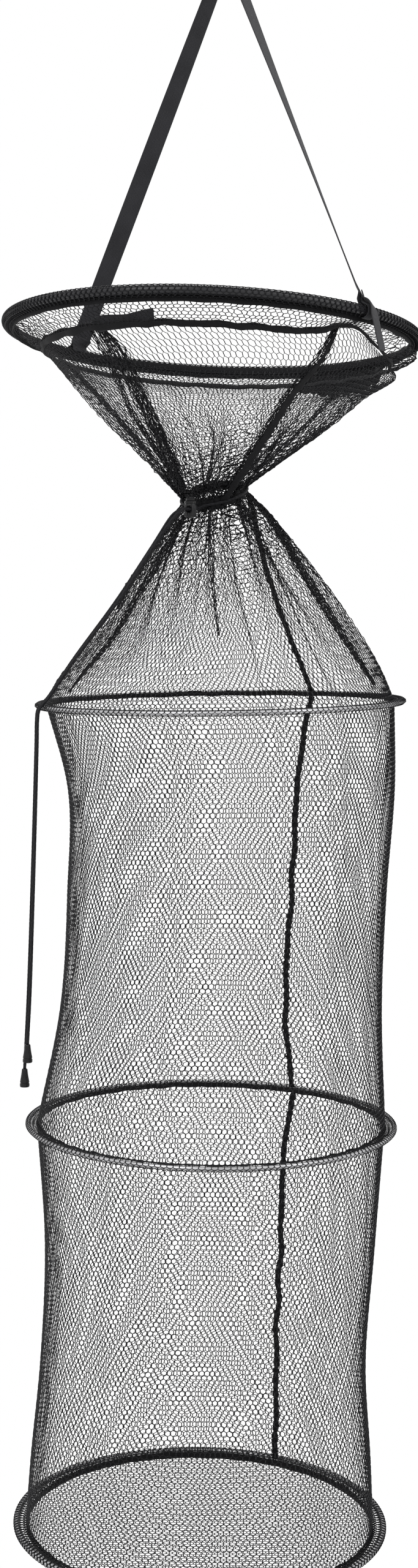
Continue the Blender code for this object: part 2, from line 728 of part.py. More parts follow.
def extrude_outline(name, origin, outline, across, up, along, half, body):
    """An outline in the plane of across and up, carried both ways along the third direction."""
    verts = []
    for side in (-1, 1):
        verts += [across * x + up * y + along * half * side for x, y in outline]
    count = len(outline)
    faces = [tuple(range(count)), tuple(range(2 * count - 1, count - 1, -1))]
    faces += [(k, (k + 1) % count, count + (k + 1) % count, count + k) for k in range(count)]
    return mesh_object(name, verts, faces, origin, body, "webbing")


def add_strap_tail(bearing_deg, body):
    """The webbing's free end, sewn outside the loop and hanging below the hoop."""
    foot, out, up, tangent = strap_frame(bearing_deg)
    reach = loop_inner() + STRAP_THICKNESS + GAP + STRAP_THICKNESS / 2
    beside = (STRAP_THICKNESS + GAP) / 2 + STRAP_THICKNESS + GAP
    path = [(beside, STRAP_LIFT - STRAP_THICKNESS), (beside, reach + STRAP_THICKNESS)]
    for turn_deg in STRAP_TAIL_TURNS_DEG:
        path.append((reach * sin(radians(turn_deg)), reach * cos(radians(turn_deg))))
    path += [(reach, -reach), (reach, -STRAP_TAIL_LENGTH)]
    outline = ribbon_outline(path, STRAP_THICKNESS / 2)
    extrude_outline("strap_tail", foot, outline, out, up, tangent, STRAP_WIDTH / 2, body)


# Waist: a groove of netting tape with the drawcord in it

def channel_profile():
    room = CORD_R + GAP
    floor = WAIST_CORD_R - room
    lip = WAIST_CORD_R
    back = floor - CHANNEL_WALL
    high = room + CHANNEL_WALL
    return [(lip, high), (back, high), (back, -high), (lip, -high), (lip, -room), (floor, -room),
            (floor, room), (lip, room)]


def channel_half():
    return CORD_R + GAP + CHANNEL_WALL


def lock_frame():
    """The cord lock's centre, the way out of the waist and the way across."""
    a = radians(LOCK_BEARING_DEG)
    out = Vector((cos(a), sin(a), 0.0))
    across = Vector((-sin(a), cos(a), 0.0))
    level = WAIST.point(LOCK_BEARING_DEG, WAIST_CORD_R).z - LOCK_DROP
    centre = Vector((WAIST.centre.x, WAIST.centre.y, level)) + out * LOCK_OUT
    return centre, out, across


def drawcord_points():
    """The cord from beyond the lock, in, once round the waist and out through the lock again."""
    centre, out, across = lock_frame()
    reach = LOCK_R + LOCK_TRAVEL + CORD_R
    inner = centre - out * (LOCK_R + CORD_R)
    half = CORD_SPACING / 2
    corner = WAIST_CORD_R + CORD_SPACING * CORD_CORNER_SHARE
    splay = degrees(half * CORD_SPLAY_SHARE / corner)
    lead = degrees(CORD_SPACING * CORD_LEAD_SHARE / WAIST_CORD_R)
    turn = lead * CORD_TURN_SHARE
    turn_r = WAIST_CORD_R + CORD_SPACING * CORD_TURN_OUT_SHARE
    points = [centre + out * reach + across * half, centre + across * half, inner + across * half,
              WAIST.point(LOCK_BEARING_DEG + splay, corner), WAIST.point(LOCK_BEARING_DEG + turn, turn_r)]
    count = WAIST_STEPS - 3
    for k in range(count + 1):
        bearing = LOCK_BEARING_DEG + lead + (360.0 - 2 * lead) * k / count
        points.append(WAIST.point(bearing, WAIST_CORD_R))
    points += [WAIST.point(LOCK_BEARING_DEG - turn, turn_r), WAIST.point(LOCK_BEARING_DEG - splay, corner),
               inner - across * half, centre - across * half, centre + out * reach - across * half]
    return points


def add_waist(body):
    turned_ring("waist_channel", WAIST, channel_profile(), body, "tape", WAIST_STEPS)
    cord("drawcord_loop", drawcord_points(), body)


def add_cord_lock(body, button):
    """A barrel with a cross slot for the two cords and a sprung plunger that grips them."""
    centre, out, across = lock_frame()
    spin = atan2(out.y, out.x)
    slot_half = CORD_R + GAP + SLIDE_ROOM / 2
    slot_wide = CORD_SPACING + 2 * CORD_R + 2 * GAP + SLIDE_ROOM
    bore_r = LOCK_R - LOCK_WALL
    floor = -LOCK_HALF_HEIGHT + LOCK_WALL
    barrel = lathe("cord_lock_barrel", centre,
                   [(LOCK_R - GAP, -LOCK_HALF_HEIGHT), (LOCK_R, -LOCK_HALF_HEIGHT + GAP),
                    (LOCK_R, LOCK_HALF_HEIGHT), (bore_r, LOCK_HALF_HEIGHT), (bore_r, floor)],
                   body, "plastic")
    cut(barrel, box_cutter("barrel_slot", centre, (4 * LOCK_R, slot_wide, 2 * slot_half), spin, body))
    stem_r = bore_r - SLIDE_ROOM
    stem_foot = floor + GAP + SPRING_HEIGHT + GAP
    stem_top = LOCK_HALF_HEIGHT + PLUNGER_HEAD
    plunger = lathe("cord_lock_plunger", centre,
                    [(stem_r, stem_foot), (stem_r, stem_top - GAP), (stem_r - GAP, stem_top)],
                    button, "plastic")
    slot_top = slot_half + PLUNGER_TRAVEL
    slot_mid = (slot_top - slot_half) / 2
    cut(plunger, box_cutter("plunger_slot", centre + Vector((0, 0, slot_mid)),
                            (4 * LOCK_R, slot_wide, slot_top + slot_half), spin, button))
    lathe_ring = [(stem_r / 2, floor + GAP), (stem_r, floor + GAP), (stem_r, floor + GAP + SPRING_HEIGHT),
                  (stem_r / 2, floor + GAP + SPRING_HEIGHT)]
    turned_ring("cord_lock_spring", Station(centre), lathe_ring, body, "spring_steel", LOCK_STEPS)


# Hoops of the net body

def add_hoop(number, station, tube_r, body, tape_low):
    turned_ring(f"hoop_{number}_ring", station, tube_profile(HOOP_R, tube_r, HOOP_TUBE_SIDES, 180.0),
                body, "hoop_tube")
    turned_ring(f"hoop_{number}_pocket", station,
                pocket_profile(HOOP_R, tube_r, HOOP_TUBE_SIDES, 180.0, HOOP_POCKET_DEPTH, HOOP_CLOTH),
                body, "mesh")
    tape_r = HOOP_R - HOOP_POCKET_DEPTH - GAP
    turned_ring(f"hoop_{number}_tape", station,
                ring_profile(tape_r - TAPE_THICKNESS, tape_r, tape_low, TAPE_HALF_HEIGHT), body, "tape")


def seat_height(tube_r):
    """How far above or below a hoop's plane the netting starts, clear of the pocket's slope."""
    corner = tube_r + POCKET_ROOM + HOOP_CLOTH
    spread = radians(360.0 / HOOP_TUBE_SIDES)
    rise = corner * sin(spread) - LIP_HALF
    run = HOOP_POCKET_DEPTH - corner * cos(spread)
    return LIP_HALF + rise * (WALL_R - HOOP_R + HOOP_POCKET_DEPTH) / run + GAP


def wall_section(top, bottom, shares, share, heights):
    """Netting outline at a share of the way down, between (share, radius share, drift share) rows."""
    for upper, lower in zip(shares, shares[1:]):
        if share <= lower[0]:
            break
    part = (share - upper[0]) / (lower[0] - upper[0])
    radius_share = upper[1] + (lower[1] - upper[1]) * part
    drift_share = upper[2] + (lower[2] - upper[2]) * part
    station = top.towards(bottom, share, HOOP_R * drift_share)
    return station, WALL_R * radius_share, heights[0] * (1 - share) + heights[1] * share


def wall_sections(top, bottom, shares, heights):
    """The outline at both ends and at the upper and lower edge of each row of openings."""
    band = WALL_BAND / (top.centre - bottom.centre).length
    gap = (1.0 - (WALL_OPENING_ROWS + 1) * band) / WALL_OPENING_ROWS
    downs = [0.0]
    for i in range(WALL_OPENING_ROWS):
        start = band + i * (gap + band)
        downs += [start, start + gap]
    downs.append(1.0)
    return [wall_section(top, bottom, shares, down, heights) for down in downs]


def cone_sections(top, bottom, top_r, bottom_r, shares, top_height, bottom_height):
    """Netting outline of a cone, whose share 1 is the wide end and share 0 the waist."""
    sections = []
    wide, narrow = max(top_r, bottom_r), min(top_r, bottom_r)
    for share, wide_share, drift_share in shares:
        station = top.towards(bottom, share, HOOP_R * drift_share)
        height = top_height * (1 - share) + bottom_height * share
        sections.append((station, narrow + (wide - narrow) * wide_share, height))
    return sections


def neck_r():
    return WAIST_CORD_R


def upper_cone():
    low, middle = hem_foot()
    return cone_sections(MOUTH, WAIST, middle, neck_r(), UPPER_CONE_SHARES, low - GAP,
                         channel_half() + GAP)


def lower_cone():
    return cone_sections(WAIST, HOOP_2, neck_r(), WALL_R, LOWER_CONE_SHARES, -channel_half() - GAP,
                         seat_height(HOOP_TUBE_R))


def upper_wall():
    return HOOP_2, HOOP_3, UPPER_WALL_SHARES, (-seat_height(HOOP_TUBE_R), seat_height(HOOP_TUBE_R))


def lower_wall():
    return HOOP_3, HOOP_4, LOWER_WALL_SHARES, (-seat_height(HOOP_TUBE_R), seat_height(BASE_TUBE_R))


def hexagon(cx, cy, r):
    return [(cx + r * cos(radians(60 * k + 30)), cy + r * sin(radians(60 * k + 30))) for k in range(6)]


def base_gaps():
    """The six-sided gaps that fit inside the base panel's rim."""
    reach = WALL_R - BASE_RIM
    gap_r = (BASE_MESH_PITCH - BASE_STRAND) / sqrt(3)
    span = 2 * round(reach / BASE_MESH_PITCH)
    gaps = []
    for q in range(-span, span + 1):
        for r in range(-span, span + 1):
            gap = hexagon(BASE_MESH_PITCH * (q + r / 2), BASE_MESH_PITCH * r * sqrt(3) / 2, gap_r)
            if max(hypot(x, y) for x, y in gap) <= reach:
                gaps.append(gap)
    return gaps


def add_base_net(body):
    """A flat round net panel with six-sided gaps, sewn under the lowest hoop's pocket."""
    top = -seat_height(BASE_TUBE_R)
    shape = bmesh.new()
    edges = []
    loops = base_gaps()
    loops.append([(WALL_R * cos(2 * pi * k / RING_STEPS), WALL_R * sin(2 * pi * k / RING_STEPS))
                  for k in range(RING_STEPS)])
    for loop in loops:
        made = [shape.verts.new((x, y, top)) for x, y in loop]
        edges += [shape.edges.new((made[k], made[(k + 1) % len(made)])) for k in range(len(made))]
    bmesh.ops.triangle_fill(shape, use_beauty=True, use_dissolve=False, edges=edges)
    bmesh.ops.recalc_face_normals(shape, faces=shape.faces)
    grown = bmesh.ops.extrude_face_region(shape, geom=list(shape.faces))
    moved = [item for item in grown["geom"] if isinstance(item, bmesh.types.BMVert)]
    bmesh.ops.translate(shape, verts=moved, vec=Vector((0.0, 0.0, -NET_THICKNESS)))
    bmesh.ops.recalc_face_normals(shape, faces=shape.faces)
    data = bpy.data.meshes.new("base_net")
    shape.to_mesh(data)
    shape.free()
    put("base_net", data, HOOP_4.centre, body, "mesh", HOOP_4.turn())


def add_bell(name, route, body):
    """A plastic bell on the end of a tail, its foot wider than its top."""
    foot = Vector(route[-1]) - Vector((0.0, 0.0, GAP))
    lathe(name, foot, [(BELL_TOP_R - GAP, 0.0), (BELL_TOP_R, -GAP),
                       (BELL_FOOT_R, -BELL_LENGTH * BELL_FOOT_SHARE), (BELL_FOOT_R, -BELL_LENGTH)],
          body, "plastic", steps=12)


def build():
    clear_scene()
    left, right = strap_axis()
    mouth = guide("mouth_guide", (left + right) / 2)
    waist = guide("waist_guide", WAIST.centre, mouth)
    lock_centre = lock_frame()[0]
    lock = guide("cord_lock_guide", lock_centre, waist)
    button = guide("plunger_guide", lock_centre, lock)
    hoop_2 = guide("hoop_2_guide", HOOP_2.centre, waist)
    hoop_3 = guide("hoop_3_guide", HOOP_3.centre, hoop_2)
    hoop_4 = guide("hoop_4_guide", HOOP_4.centre, hoop_3)

    add_strap()
    add_mouth(mouth)
    add_strap_end("strap_end_left", strap_bearing() - 180.0, mouth)
    add_strap_end("strap_end_right", strap_bearing(), mouth)
    add_strap_tail(strap_bearing(), mouth)

    shell("upper_cone_net", upper_cone(), NET_THICKNESS, waist, "mesh")
    add_waist(waist)
    add_cord_lock(lock, button)

    shell("lower_cone_net", lower_cone(), NET_THICKNESS, hoop_2, "mesh")
    seam_strip("lower_cone_seam", lower_cone(), SEAM_WAIST_DEG, SEAM_HOOP_2_DEG, hoop_2)
    add_hoop(2, HOOP_2, HOOP_TUBE_R, hoop_2, -TAPE_HALF_HEIGHT)
    cord("drawcord_run_1", smooth_route(RUN_1_ROUTE, CORD_STEP), hoop_2)
    cord("drawcord_run_2", smooth_route(RUN_2_ROUTE, CORD_STEP), hoop_2)
    cord("drawcord_tail_1", smooth_route(TAIL_1_ROUTE, CORD_STEP), hoop_2)
    cord("drawcord_tail_2", smooth_route(TAIL_2_ROUTE, CORD_STEP), hoop_2)
    add_bell("cord_bell_1", TAIL_1_ROUTE, hoop_2)
    add_bell("cord_bell_2", TAIL_2_ROUTE, hoop_2)

    netting_wall("upper_wall_net", *upper_wall(), hoop_3)
    seam_strip("upper_wall_seam", wall_sections(*upper_wall()), SEAM_HOOP_2_DEG, SEAM_HOOP_3_DEG, hoop_3)
    add_hoop(3, HOOP_3, HOOP_TUBE_R, hoop_3, -TAPE_HALF_HEIGHT)

    netting_wall("lower_wall_net", *lower_wall(), hoop_4)
    seam_strip("lower_wall_seam", wall_sections(*lower_wall()), SEAM_HOOP_3_DEG, SEAM_HOOP_4_DEG, hoop_4)
    add_hoop(4, HOOP_4, BASE_TUBE_R, hoop_4, -LIP_HALF)
    add_base_net(hoop_4)


build()
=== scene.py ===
"""The looks of the keep net: netting strands, metal hoops, tapes, webbing, cords and their light."""
import math

import bpy
import numpy as np
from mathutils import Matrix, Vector


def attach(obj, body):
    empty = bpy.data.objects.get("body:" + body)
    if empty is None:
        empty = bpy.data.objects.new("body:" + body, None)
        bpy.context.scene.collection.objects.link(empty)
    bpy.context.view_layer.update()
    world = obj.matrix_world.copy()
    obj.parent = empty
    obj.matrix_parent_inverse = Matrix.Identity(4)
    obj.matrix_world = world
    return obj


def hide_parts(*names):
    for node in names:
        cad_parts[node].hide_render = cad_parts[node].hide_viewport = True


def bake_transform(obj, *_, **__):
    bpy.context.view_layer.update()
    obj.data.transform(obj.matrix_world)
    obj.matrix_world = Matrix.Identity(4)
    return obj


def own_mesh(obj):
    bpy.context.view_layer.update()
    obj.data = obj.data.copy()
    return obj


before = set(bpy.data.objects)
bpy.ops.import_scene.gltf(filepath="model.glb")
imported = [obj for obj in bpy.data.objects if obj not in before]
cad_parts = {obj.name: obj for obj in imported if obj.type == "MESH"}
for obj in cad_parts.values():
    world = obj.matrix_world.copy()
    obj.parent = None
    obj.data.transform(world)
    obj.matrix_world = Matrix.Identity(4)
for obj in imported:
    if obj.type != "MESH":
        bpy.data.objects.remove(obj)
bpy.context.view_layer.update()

TAU = 2 * math.pi
UP = np.array((0.0, 0.0, 1.0))

# Levels of the net, as in the CAD: centre and lean of each ring's plane
MOUTH = ((-0.016, 0.0, -0.4021), 2.7, -5.2)
WAIST = ((-0.014, 0.0, -0.5756), -12.0, 17.0)
HOOPS = {2: ((-0.0073, 0.0, -0.7991), -0.76, 0.0),
         3: ((-0.0172, 0.0, -1.2517), 0.76, 0.0),
         4: ((-0.0294, 0.0, -1.6791), 1.04, 0.0)}

# Hoops and their netting pockets
MOUTH_HOOP_R = 0.221
MOUTH_TUBE_R = 0.0045
MOUTH_POCKET_DEPTH = 0.0105
HOOP_R = 0.1965
HOOP_TUBE_R = 0.00225
BASE_TUBE_R = 0.003
HOOP_POCKET_DEPTH = 0.0115
POCKET_ROOM = 0.00035
POCKET_LIP = 0.001
POCKET_SWAY = 0.0006
TAPE_R = 0.184
TAPE_THICKNESS = 0.0014

# Cuff below the mouth: it leaves the hoop along the lip's direction and ends in the hem
LIP_DEG = 213.0
LIP_OUT, LIP_UP = math.cos(math.radians(LIP_DEG)), math.sin(math.radians(LIP_DEG))
HEM_START, HEM_STOP = 0.0441, 0.0491
HEM_MIDDLE = (HEM_START + HEM_STOP) / 2
HEM_THICKNESS = 0.0026
HEM_FOOT_R = 0.1798
HEM_FOOT_DROP = -0.0283
HEM_HALF = ((0, 0.0022), (20, 0.003), (180, 0.003), (190, 0.0046), (215, 0.0048), (232, 0.0036), (312, 0.0036),
            (322, 0.0018), (352, 0.0014), (360, 0.0022))
BULGE_DEG, BULGE_SPREAD, BULGE_OUT = 8.0, 24.0, 0.014
LIFT_DEG, LIFT_BEFORE, LIFT_AFTER, LIFT_UP = 322.0, 15.0, 19.0, 0.018
LIFT_FADE, BULGE_FADE = 0.35, 0.3

# Knotless netting: cell size, strand thickness and the zigzag's share of a row
CELL_WIDE = 0.0063
ROW_PITCH = 0.0051
STRAND_R = 0.00039
JOINT_R = 0.00062
ZIGZAG = 1 / 6
CONE_STRAND_R = 0.00034
CONE_JOINT_R = 0.00055
BASE_STRAND_R = 0.00035

# Cones and walls: rows of share down, share of the width, and drift to the right as a share of the hoops' radius
WALL_R = 0.1868
WALL_SEAT = 0.001
WAIST_R = 0.0363
WAIST_HALF = 0.00345
LENS_DEPTH = 0.7
LENS_WEIGHT = 0.62
UPPER_CONE = ((0, 1, 0), (0.12, 0.982, 0.078), (0.35, 0.761, 0.084), (0.65, 0.435, 0.086), (1, 0, 0))
LOWER_CONE = ((0, 0, 0), (0.12, 0.147, 0), (0.35, 0.405, 0), (0.63, 0.68, 0.015), (0.88, 0.93, -0.005),
              (1, 1, 0))
UPPER_WALL = ((0, 1, 0), (0.19, 0.942, 0.068), (0.45, 0.918, 0.058), (0.72, 0.924, 0.04), (1, 1, 0))
LOWER_WALL = ((0, 1, 0), (0.3, 0.95, 0.013), (0.6, 0.938, -0.006), (0.85, 0.981, -0.003), (1, 1, 0))
PLEATS = ((7, 1), (11, 0.9), (18, 0.8))
PLEAT_DEPTH = 0.001

# Bodies that a bending piece hangs between, and where its bend starts and ends
UPPER_LINK = ("mouth", "waist", (-0.013, 0, -0.435), (-0.014, 0, -0.565))
LOWER_LINK = ("waist", "hoop_2", (-0.014, 0, -0.598), (-0.008, 0, -0.785))
CORD_LINK = ("waist", "hoop_2", (-0.05, -0.06, -0.6), (-0.05, -0.06, -0.74))
STRAP_LINK = ("strap", "mouth", (-0.012, 0.0, -0.335), (-0.012, 0.0, -0.37))
WALL_BEND_GAP = 0.01

# Seams and bunched folds: rows of share down and bearing. A fold also has its half widths in millimetres and
# its cells round
SEAM_HALF = 0.0034
SEAM_THICKNESS = 0.0012
SEAM_OFF = 0.0012
UPPER_SEAM = ((0, 315.2), (0.1, 307), (0.2, 302.5), (0.35, 299.5), (0.5, 294.5), (0.65, 287.5), (0.8, 283),
              (1, 284))
UPPER_SEAM_HALF = ((0, 0.1, 0.25, 1), (0.0014, 0.0022, 0.0046, 0.0042))
LOWER_SEAM = ((0, 30), (0.1, 39), (0.2, 46), (0.35, 51), (0.6, 54.5), (1, 55.7))
UPPER_WALL_SEAM = ((0, 55.8), (0.1, 60), (0.2, 62.8), (0.5, 63), (0.8, 63.5), (0.9, 62), (1, 59.6))
LOWER_WALL_SEAM = ((0, 59.6), (0.1, 61.8), (0.2, 62.8), (0.5, 61.6), (0.8, 62.2), (1, 63))
BUNDLE_HALF_AT = (0, 0.1, 0.8, 1)
UPPER_BUNDLES = {
    "left_near": (((0, 230), (0.1, 229), (0.2, 226.5), (0.35, 224), (0.5, 220.8), (0.65, 218), (0.9, 217.5)),
                  (4.5, 9, 7, 4.5), 23),
    "left_fork": (((0, 226), (0.15, 221), (0.35, 213), (0.6, 209), (0.9, 212)),
                  (2, 4, 3.5, 3), 8),
    "right_near": (UPPER_SEAM[:-1] + ((0.95, 284),), (4, 7, 6, 4), 14),
    "right_far": (((0.08, 36), (0.2, 36), (0.35, 30), (0.5, 27.5), (0.65, 27), (0.8, 25), (0.93, 20)),
                  (1.5, 4, 3.5, 2.5), 6),
    "left_far": (((0.02, 155), (0.1, 160), (0.2, 163), (0.35, 165), (0.5, 167), (0.7, 169)),
                 (3, 6, 4, 2), 10)}
LOWER_BUNDLES = {
    "right_far": (((0.08, 4), (0.2, 11.8), (0.35, 15.8), (0.5, 17.5), (0.65, 18.2), (0.8, 18.2), (0.95, 17)),
                  (4, 7, 6, 3), 13),
    "left_near": (((0.05, 208), (0.2, 207), (0.35, 203), (0.5, 199), (0.65, 198), (0.9, 203)),
                  (4, 6, 4, 1), 9),
    "left_far": (((0.03, 170), (0.2, 172), (0.5, 172)), (4, 6, 3, 1), 9),
    "middle_near": (((0.04, 262), (0.2, 264), (0.6, 268)), (3, 2.5, 1.2, 0.8), 5)}

# Drawcord: each route runs from the lock to its bell, whose profile is in millimetres from the cord's end
CORD_R = 0.00165
CORD_PLAIT_R = CORD_R * 0.98
CORD_PLAIT = 0.09
CORD_LAY = 0.009
CORD_STEP = 0.0012
CORD_ROUTES = {
    1: ((-0.04804, -0.06287, -0.5925), (-0.05, -0.0661, -0.5934), (-0.0602, -0.066, -0.602),
        (-0.0801, -0.0626, -0.633), (-0.1177, -0.0666, -0.69), (-0.1602, -0.0685, -0.748),
        (-0.1857, -0.0667, -0.7862), (-0.1929, -0.0676, -0.795), (-0.1989, -0.0671, -0.8025),
        (-0.2007, -0.0668, -0.815), (-0.2015, -0.0657, -0.85), (-0.2048, -0.063, -0.96),
        (-0.2092, -0.0616, -1.09), (-0.2135, -0.0605, -1.1806)),
    2: ((-0.04484, -0.06447, -0.5925), (-0.047, -0.0687, -0.5933), (-0.058, -0.0706, -0.6035),
        (-0.0786, -0.0668, -0.6335), (-0.1153, -0.0704, -0.69), (-0.1585, -0.0722, -0.748),
        (-0.1844, -0.0708, -0.7862), (-0.1914, -0.0717, -0.795), (-0.1972, -0.0715, -0.8025),
        (-0.1991, -0.0711, -0.815), (-0.1998, -0.0704, -0.85), (-0.2027, -0.0691, -0.96),
        (-0.2067, -0.0691, -1.09), (-0.2097, -0.0701, -1.153))}
BELL_DROP = 0.0003
BELL_GRIP = (-12.5, -6)
BELL_PROFILE = (
    (1.85, 0), (2.6, -0.2), (3, -0.8), (3.2, -3), (3.7, -7), (4.4, -11), (4.9, -13.5), (4.9, -14.2), (4.6, -14.6),
    (4.6, -15.2), (5, -15.6), (5.1, -16.5), (5.1, -18.2), (4.7, -19), (4, -19), (3.7, -18.4), (3.5, -15), (2.8, -10),
    (2.1, -6), (1.85, -3))
GRIP_RIBS = 20

# Cord lock: its profiles are (radius, height) about its middle, in millimetres
LOCK = np.array((-0.038969, -0.049005, -0.592476))
LOCK_BEARING = 243.0
LOCK_R = 0.0065
CORDS_APART = 0.0037
CORD_BEYOND_LOCK = 0.008
BARREL_PROFILE = (
    (5.2, 8.5), (5.5, 8.8), (6, 8.8), (6.5, 8.1), (6.5, 6.3), (6.1, 5.9), (6.1, 5.3), (6.5, 4.9), (6.5, 0),
    (6.5, -5.5), (6.5, -7.3), (6, -8.2), (5.1, -8.5), (0.4, -8.5), (0.4, -7.2), (5.2, -7.2))
BARREL_GRIP = (-7.3, 4.9)
PLUNGER_PROFILE = (
    (0.4, -3.8), (4.6, -3.8), (4.8, -3.6), (4.8, 9.5), (5, 9.9), (5, 11.3), (4.4, 12.1), (3, 12.5), (0.4, 12.6))
BARREL_SLOT, PLUNGER_SLOT, PLUNGER_SLOT_LIFT = 0.0043, 0.008, 0.0014
SLOT_REACH = 0.013
SLOT_HALF = 0.0038
SPRING_FOOT = -0.0069
SPRING_HEIGHT = 0.0028
SPRING_WIRE = 0.0003
SPRING_R = 0.0034
SPRING_TURNS = 2.2

# Strap
STRAP_HALF = 0.01
STRAP_THICK = 0.0015
STRAP_BEND_R = 0.006
STRAP_FOOT = {"left": 135.0, "right": 315.0}
STRAP_TWIST = {"left": -45.0, "right": -37.0}
STRAP_LIFT = 0.02115
STRAP_PIVOT = 0.03165
STRAP_LAYER = 0.0009
STRAP_GATHER = 0.0042
STRAP_SELVEDGE = 0.12
WEBBING_STEP = 0.0012
HANG_POINT = np.array((0.0, 0.0, -STRAP_BEND_R))
LOOP_R = 0.0074
LOOP_CLEAR, LOOP_NECK = math.radians(44.0), math.radians(25.0)
TAIL_GAP = 0.0003
TAIL_WAY = np.array((0.198, -0.05, -0.979))
TAIL_LIE = np.array((0.4, 0.92, 0.0))

# Camera fitted to the photograph's hoops: a level lens with an upward shift of the frame
CAMERA_PLACE = (-0.0195, -2.508, -0.6594)
CAMERA_LENS = 53.4375
CAMERA_SENSOR = 36.0
CAMERA_SHIFT_Y = -0.1348

# Light: each softbox has its place, what it faces, its size and its power
BACKDROP_STRENGTH, FILL_STRENGTH = 1.0, 0.55
SOFTBOXES = {"key_softbox": ((-1.4, -2.2, 0.9), (0.0, 0.0, -0.8), (1.6, 2.2), 26.0),
             "right_softbox": ((1.8, -1.2, 0.4), (0.0, 0.0, -0.9), (1.2, 2.4), 12.0),
             "top_softbox": ((0.0, 0.3, 1.3), (0.0, 0.0, -0.6), (1.6, 1.6), 10.0)}
FLOOR_CENTRE = (-0.02, 0.0, -2.205)
FLOOR_RINGS = ((0.995, 0.0), (1.0, -0.003), (1.0, -0.017), (0.995, -0.02))
FLOOR_COLOUR = (0.8, 0.8, 0.8)


def show(name, data):
    """A new object in the scene."""
    obj = bpy.data.objects.new(name, data)
    bpy.context.scene.collection.objects.link(obj)
    return obj


def add_camera():
    data = bpy.data.cameras.new("photo_camera")
    data.lens, data.sensor_width, data.sensor_fit = CAMERA_LENS, CAMERA_SENSOR, "AUTO"
    data.shift_y = CAMERA_SHIFT_Y
    data.clip_start, data.clip_end = 0.01, 50.0
    camera = show("photo_camera", data)
    camera.location = CAMERA_PLACE
    camera.rotation_euler = (math.pi / 2, 0.0, 0.0)
    bpy.context.scene.camera = camera


add_camera()


# Points, lines and surfaces

def of(value, *at):
    """A value as it is, or what a function gives there."""
    return value(*at) if callable(value) else value


def unit(v):
    return v / np.maximum(np.linalg.norm(v, axis=-1, keepdims=True), 1e-12)


def stack(*parts):
    """Coordinates or corners side by side on a last axis."""
    return np.stack(np.broadcast_arrays(*parts), -1)


def lean(level, bearing, radius, height=0.0):
    """The way from a level's centre to a bearing, radius and height in its leaning plane. Arrays broadcast."""
    roll, pitch = np.radians(level[1]), np.radians(level[2])
    x, y = radius * np.cos(bearing), radius * np.sin(bearing)
    y, z = y * np.cos(pitch) - height * np.sin(pitch), y * np.sin(pitch) + height * np.cos(pitch)
    x, z = x * np.cos(roll) + z * np.sin(roll), -x * np.sin(roll) + z * np.cos(roll)
    return stack(x, y, z)


def on_level(level, bearing, radius, height=0.0):
    return np.array(level[0]) + lean(level, bearing, radius, height)


def apart(bearing, middle):
    """The signed angle from a middle bearing, the shorter way round."""
    return np.mod(bearing - middle + math.pi, TAU) - math.pi


def bearings(steps):
    return TAU * np.arange(steps) / steps


def smooth_between(knots, values, x):
    """A smooth line through a few values. It stays at the end values beyond them."""
    knots, values = np.array(knots, float), np.array(values, float)
    slope = np.gradient(values, knots)
    x = np.clip(x, knots[0], knots[-1])
    i = np.clip(np.searchsorted(knots, x, "right") - 1, 0, len(knots) - 2)
    h = knots[i + 1] - knots[i]
    t = (x - knots[i]) / h
    return ((2 * t**3 - 3 * t**2 + 1) * values[i] + (t**3 - 2 * t**2 + t) * h * slope[i]
            + (3 * t**2 - 2 * t**3) * values[i + 1] + (t**3 - t**2) * h * slope[i + 1])


def arc_length(centres):
    step = np.linalg.norm(np.diff(centres, axis=0), axis=1)
    return np.concatenate([[0.0], np.cumsum(step)])


def points_at(at, along, points):
    return stack(*(np.interp(at, along, column) for column in points.T))


def smooth_line(points, step):
    """Points about a step apart on a smooth line through a route."""
    pts = np.array(points, float)
    ends = np.concatenate([[2 * pts[0] - pts[1]], pts, [2 * pts[-1] - pts[-2]]])
    parts = []
    for p0, p1, p2, p3 in zip(ends, ends[1:], ends[2:], ends[3:]):
        count = max(1, round(np.linalg.norm(p2 - p1) / step))
        t = np.arange(count)[:, None] / count
        parts.append(0.5 * (2 * p1 + (p2 - p0) * t + (2 * p0 - 5 * p1 + 4 * p2 - p3) * t**2
                            + (3 * p1 - p0 - 3 * p2 + p3) * t**3))
    return np.concatenate(parts + [pts[-1:]])


def even_line(points, step):
    """The same line cut into even steps."""
    fine = smooth_line(points, step / 4)
    along = arc_length(fine)
    return points_at(np.linspace(0, along[-1], max(2, round(along[-1] / step) + 1)), along, fine)


def blurred(values):
    """Rows averaged with their neighbours, with the ends repeated."""
    padded = np.concatenate([values[:1]] * 2 + [values] + [values[-1:]] * 2)
    return sum(w / 16 * padded[k:k + len(values)] for k, w in enumerate((1, 4, 6, 4, 1)))


def even_with(spots, widths, step):
    """A smooth, even line through spots, with the width directions carried along it."""
    spots, widths = np.array(spots), np.array(widths)
    along = arc_length(spots)
    keep = np.concatenate([[True], np.diff(along) > 1e-5])
    spots, widths, along = spots[keep], widths[keep], along[keep]
    at = np.linspace(0, along[-1], round(along[-1] / step) + 1)
    line, side = points_at(at, along, spots), points_at(at, along, widths)
    for _ in range(2):
        ends = line[:2], line[-2:]
        line, side = blurred(line), blurred(side)
        line[:2], line[-2:] = ends
    return line, unit(side)


def lens_share(bearing, depth):
    """The radius of a lens whose sharp edges lie left and right, as a share of its half width."""
    s = np.abs(np.sin(bearing))
    return 2 * depth / (s + np.sqrt(s * s + (2 * depth * np.cos(bearing)) ** 2))


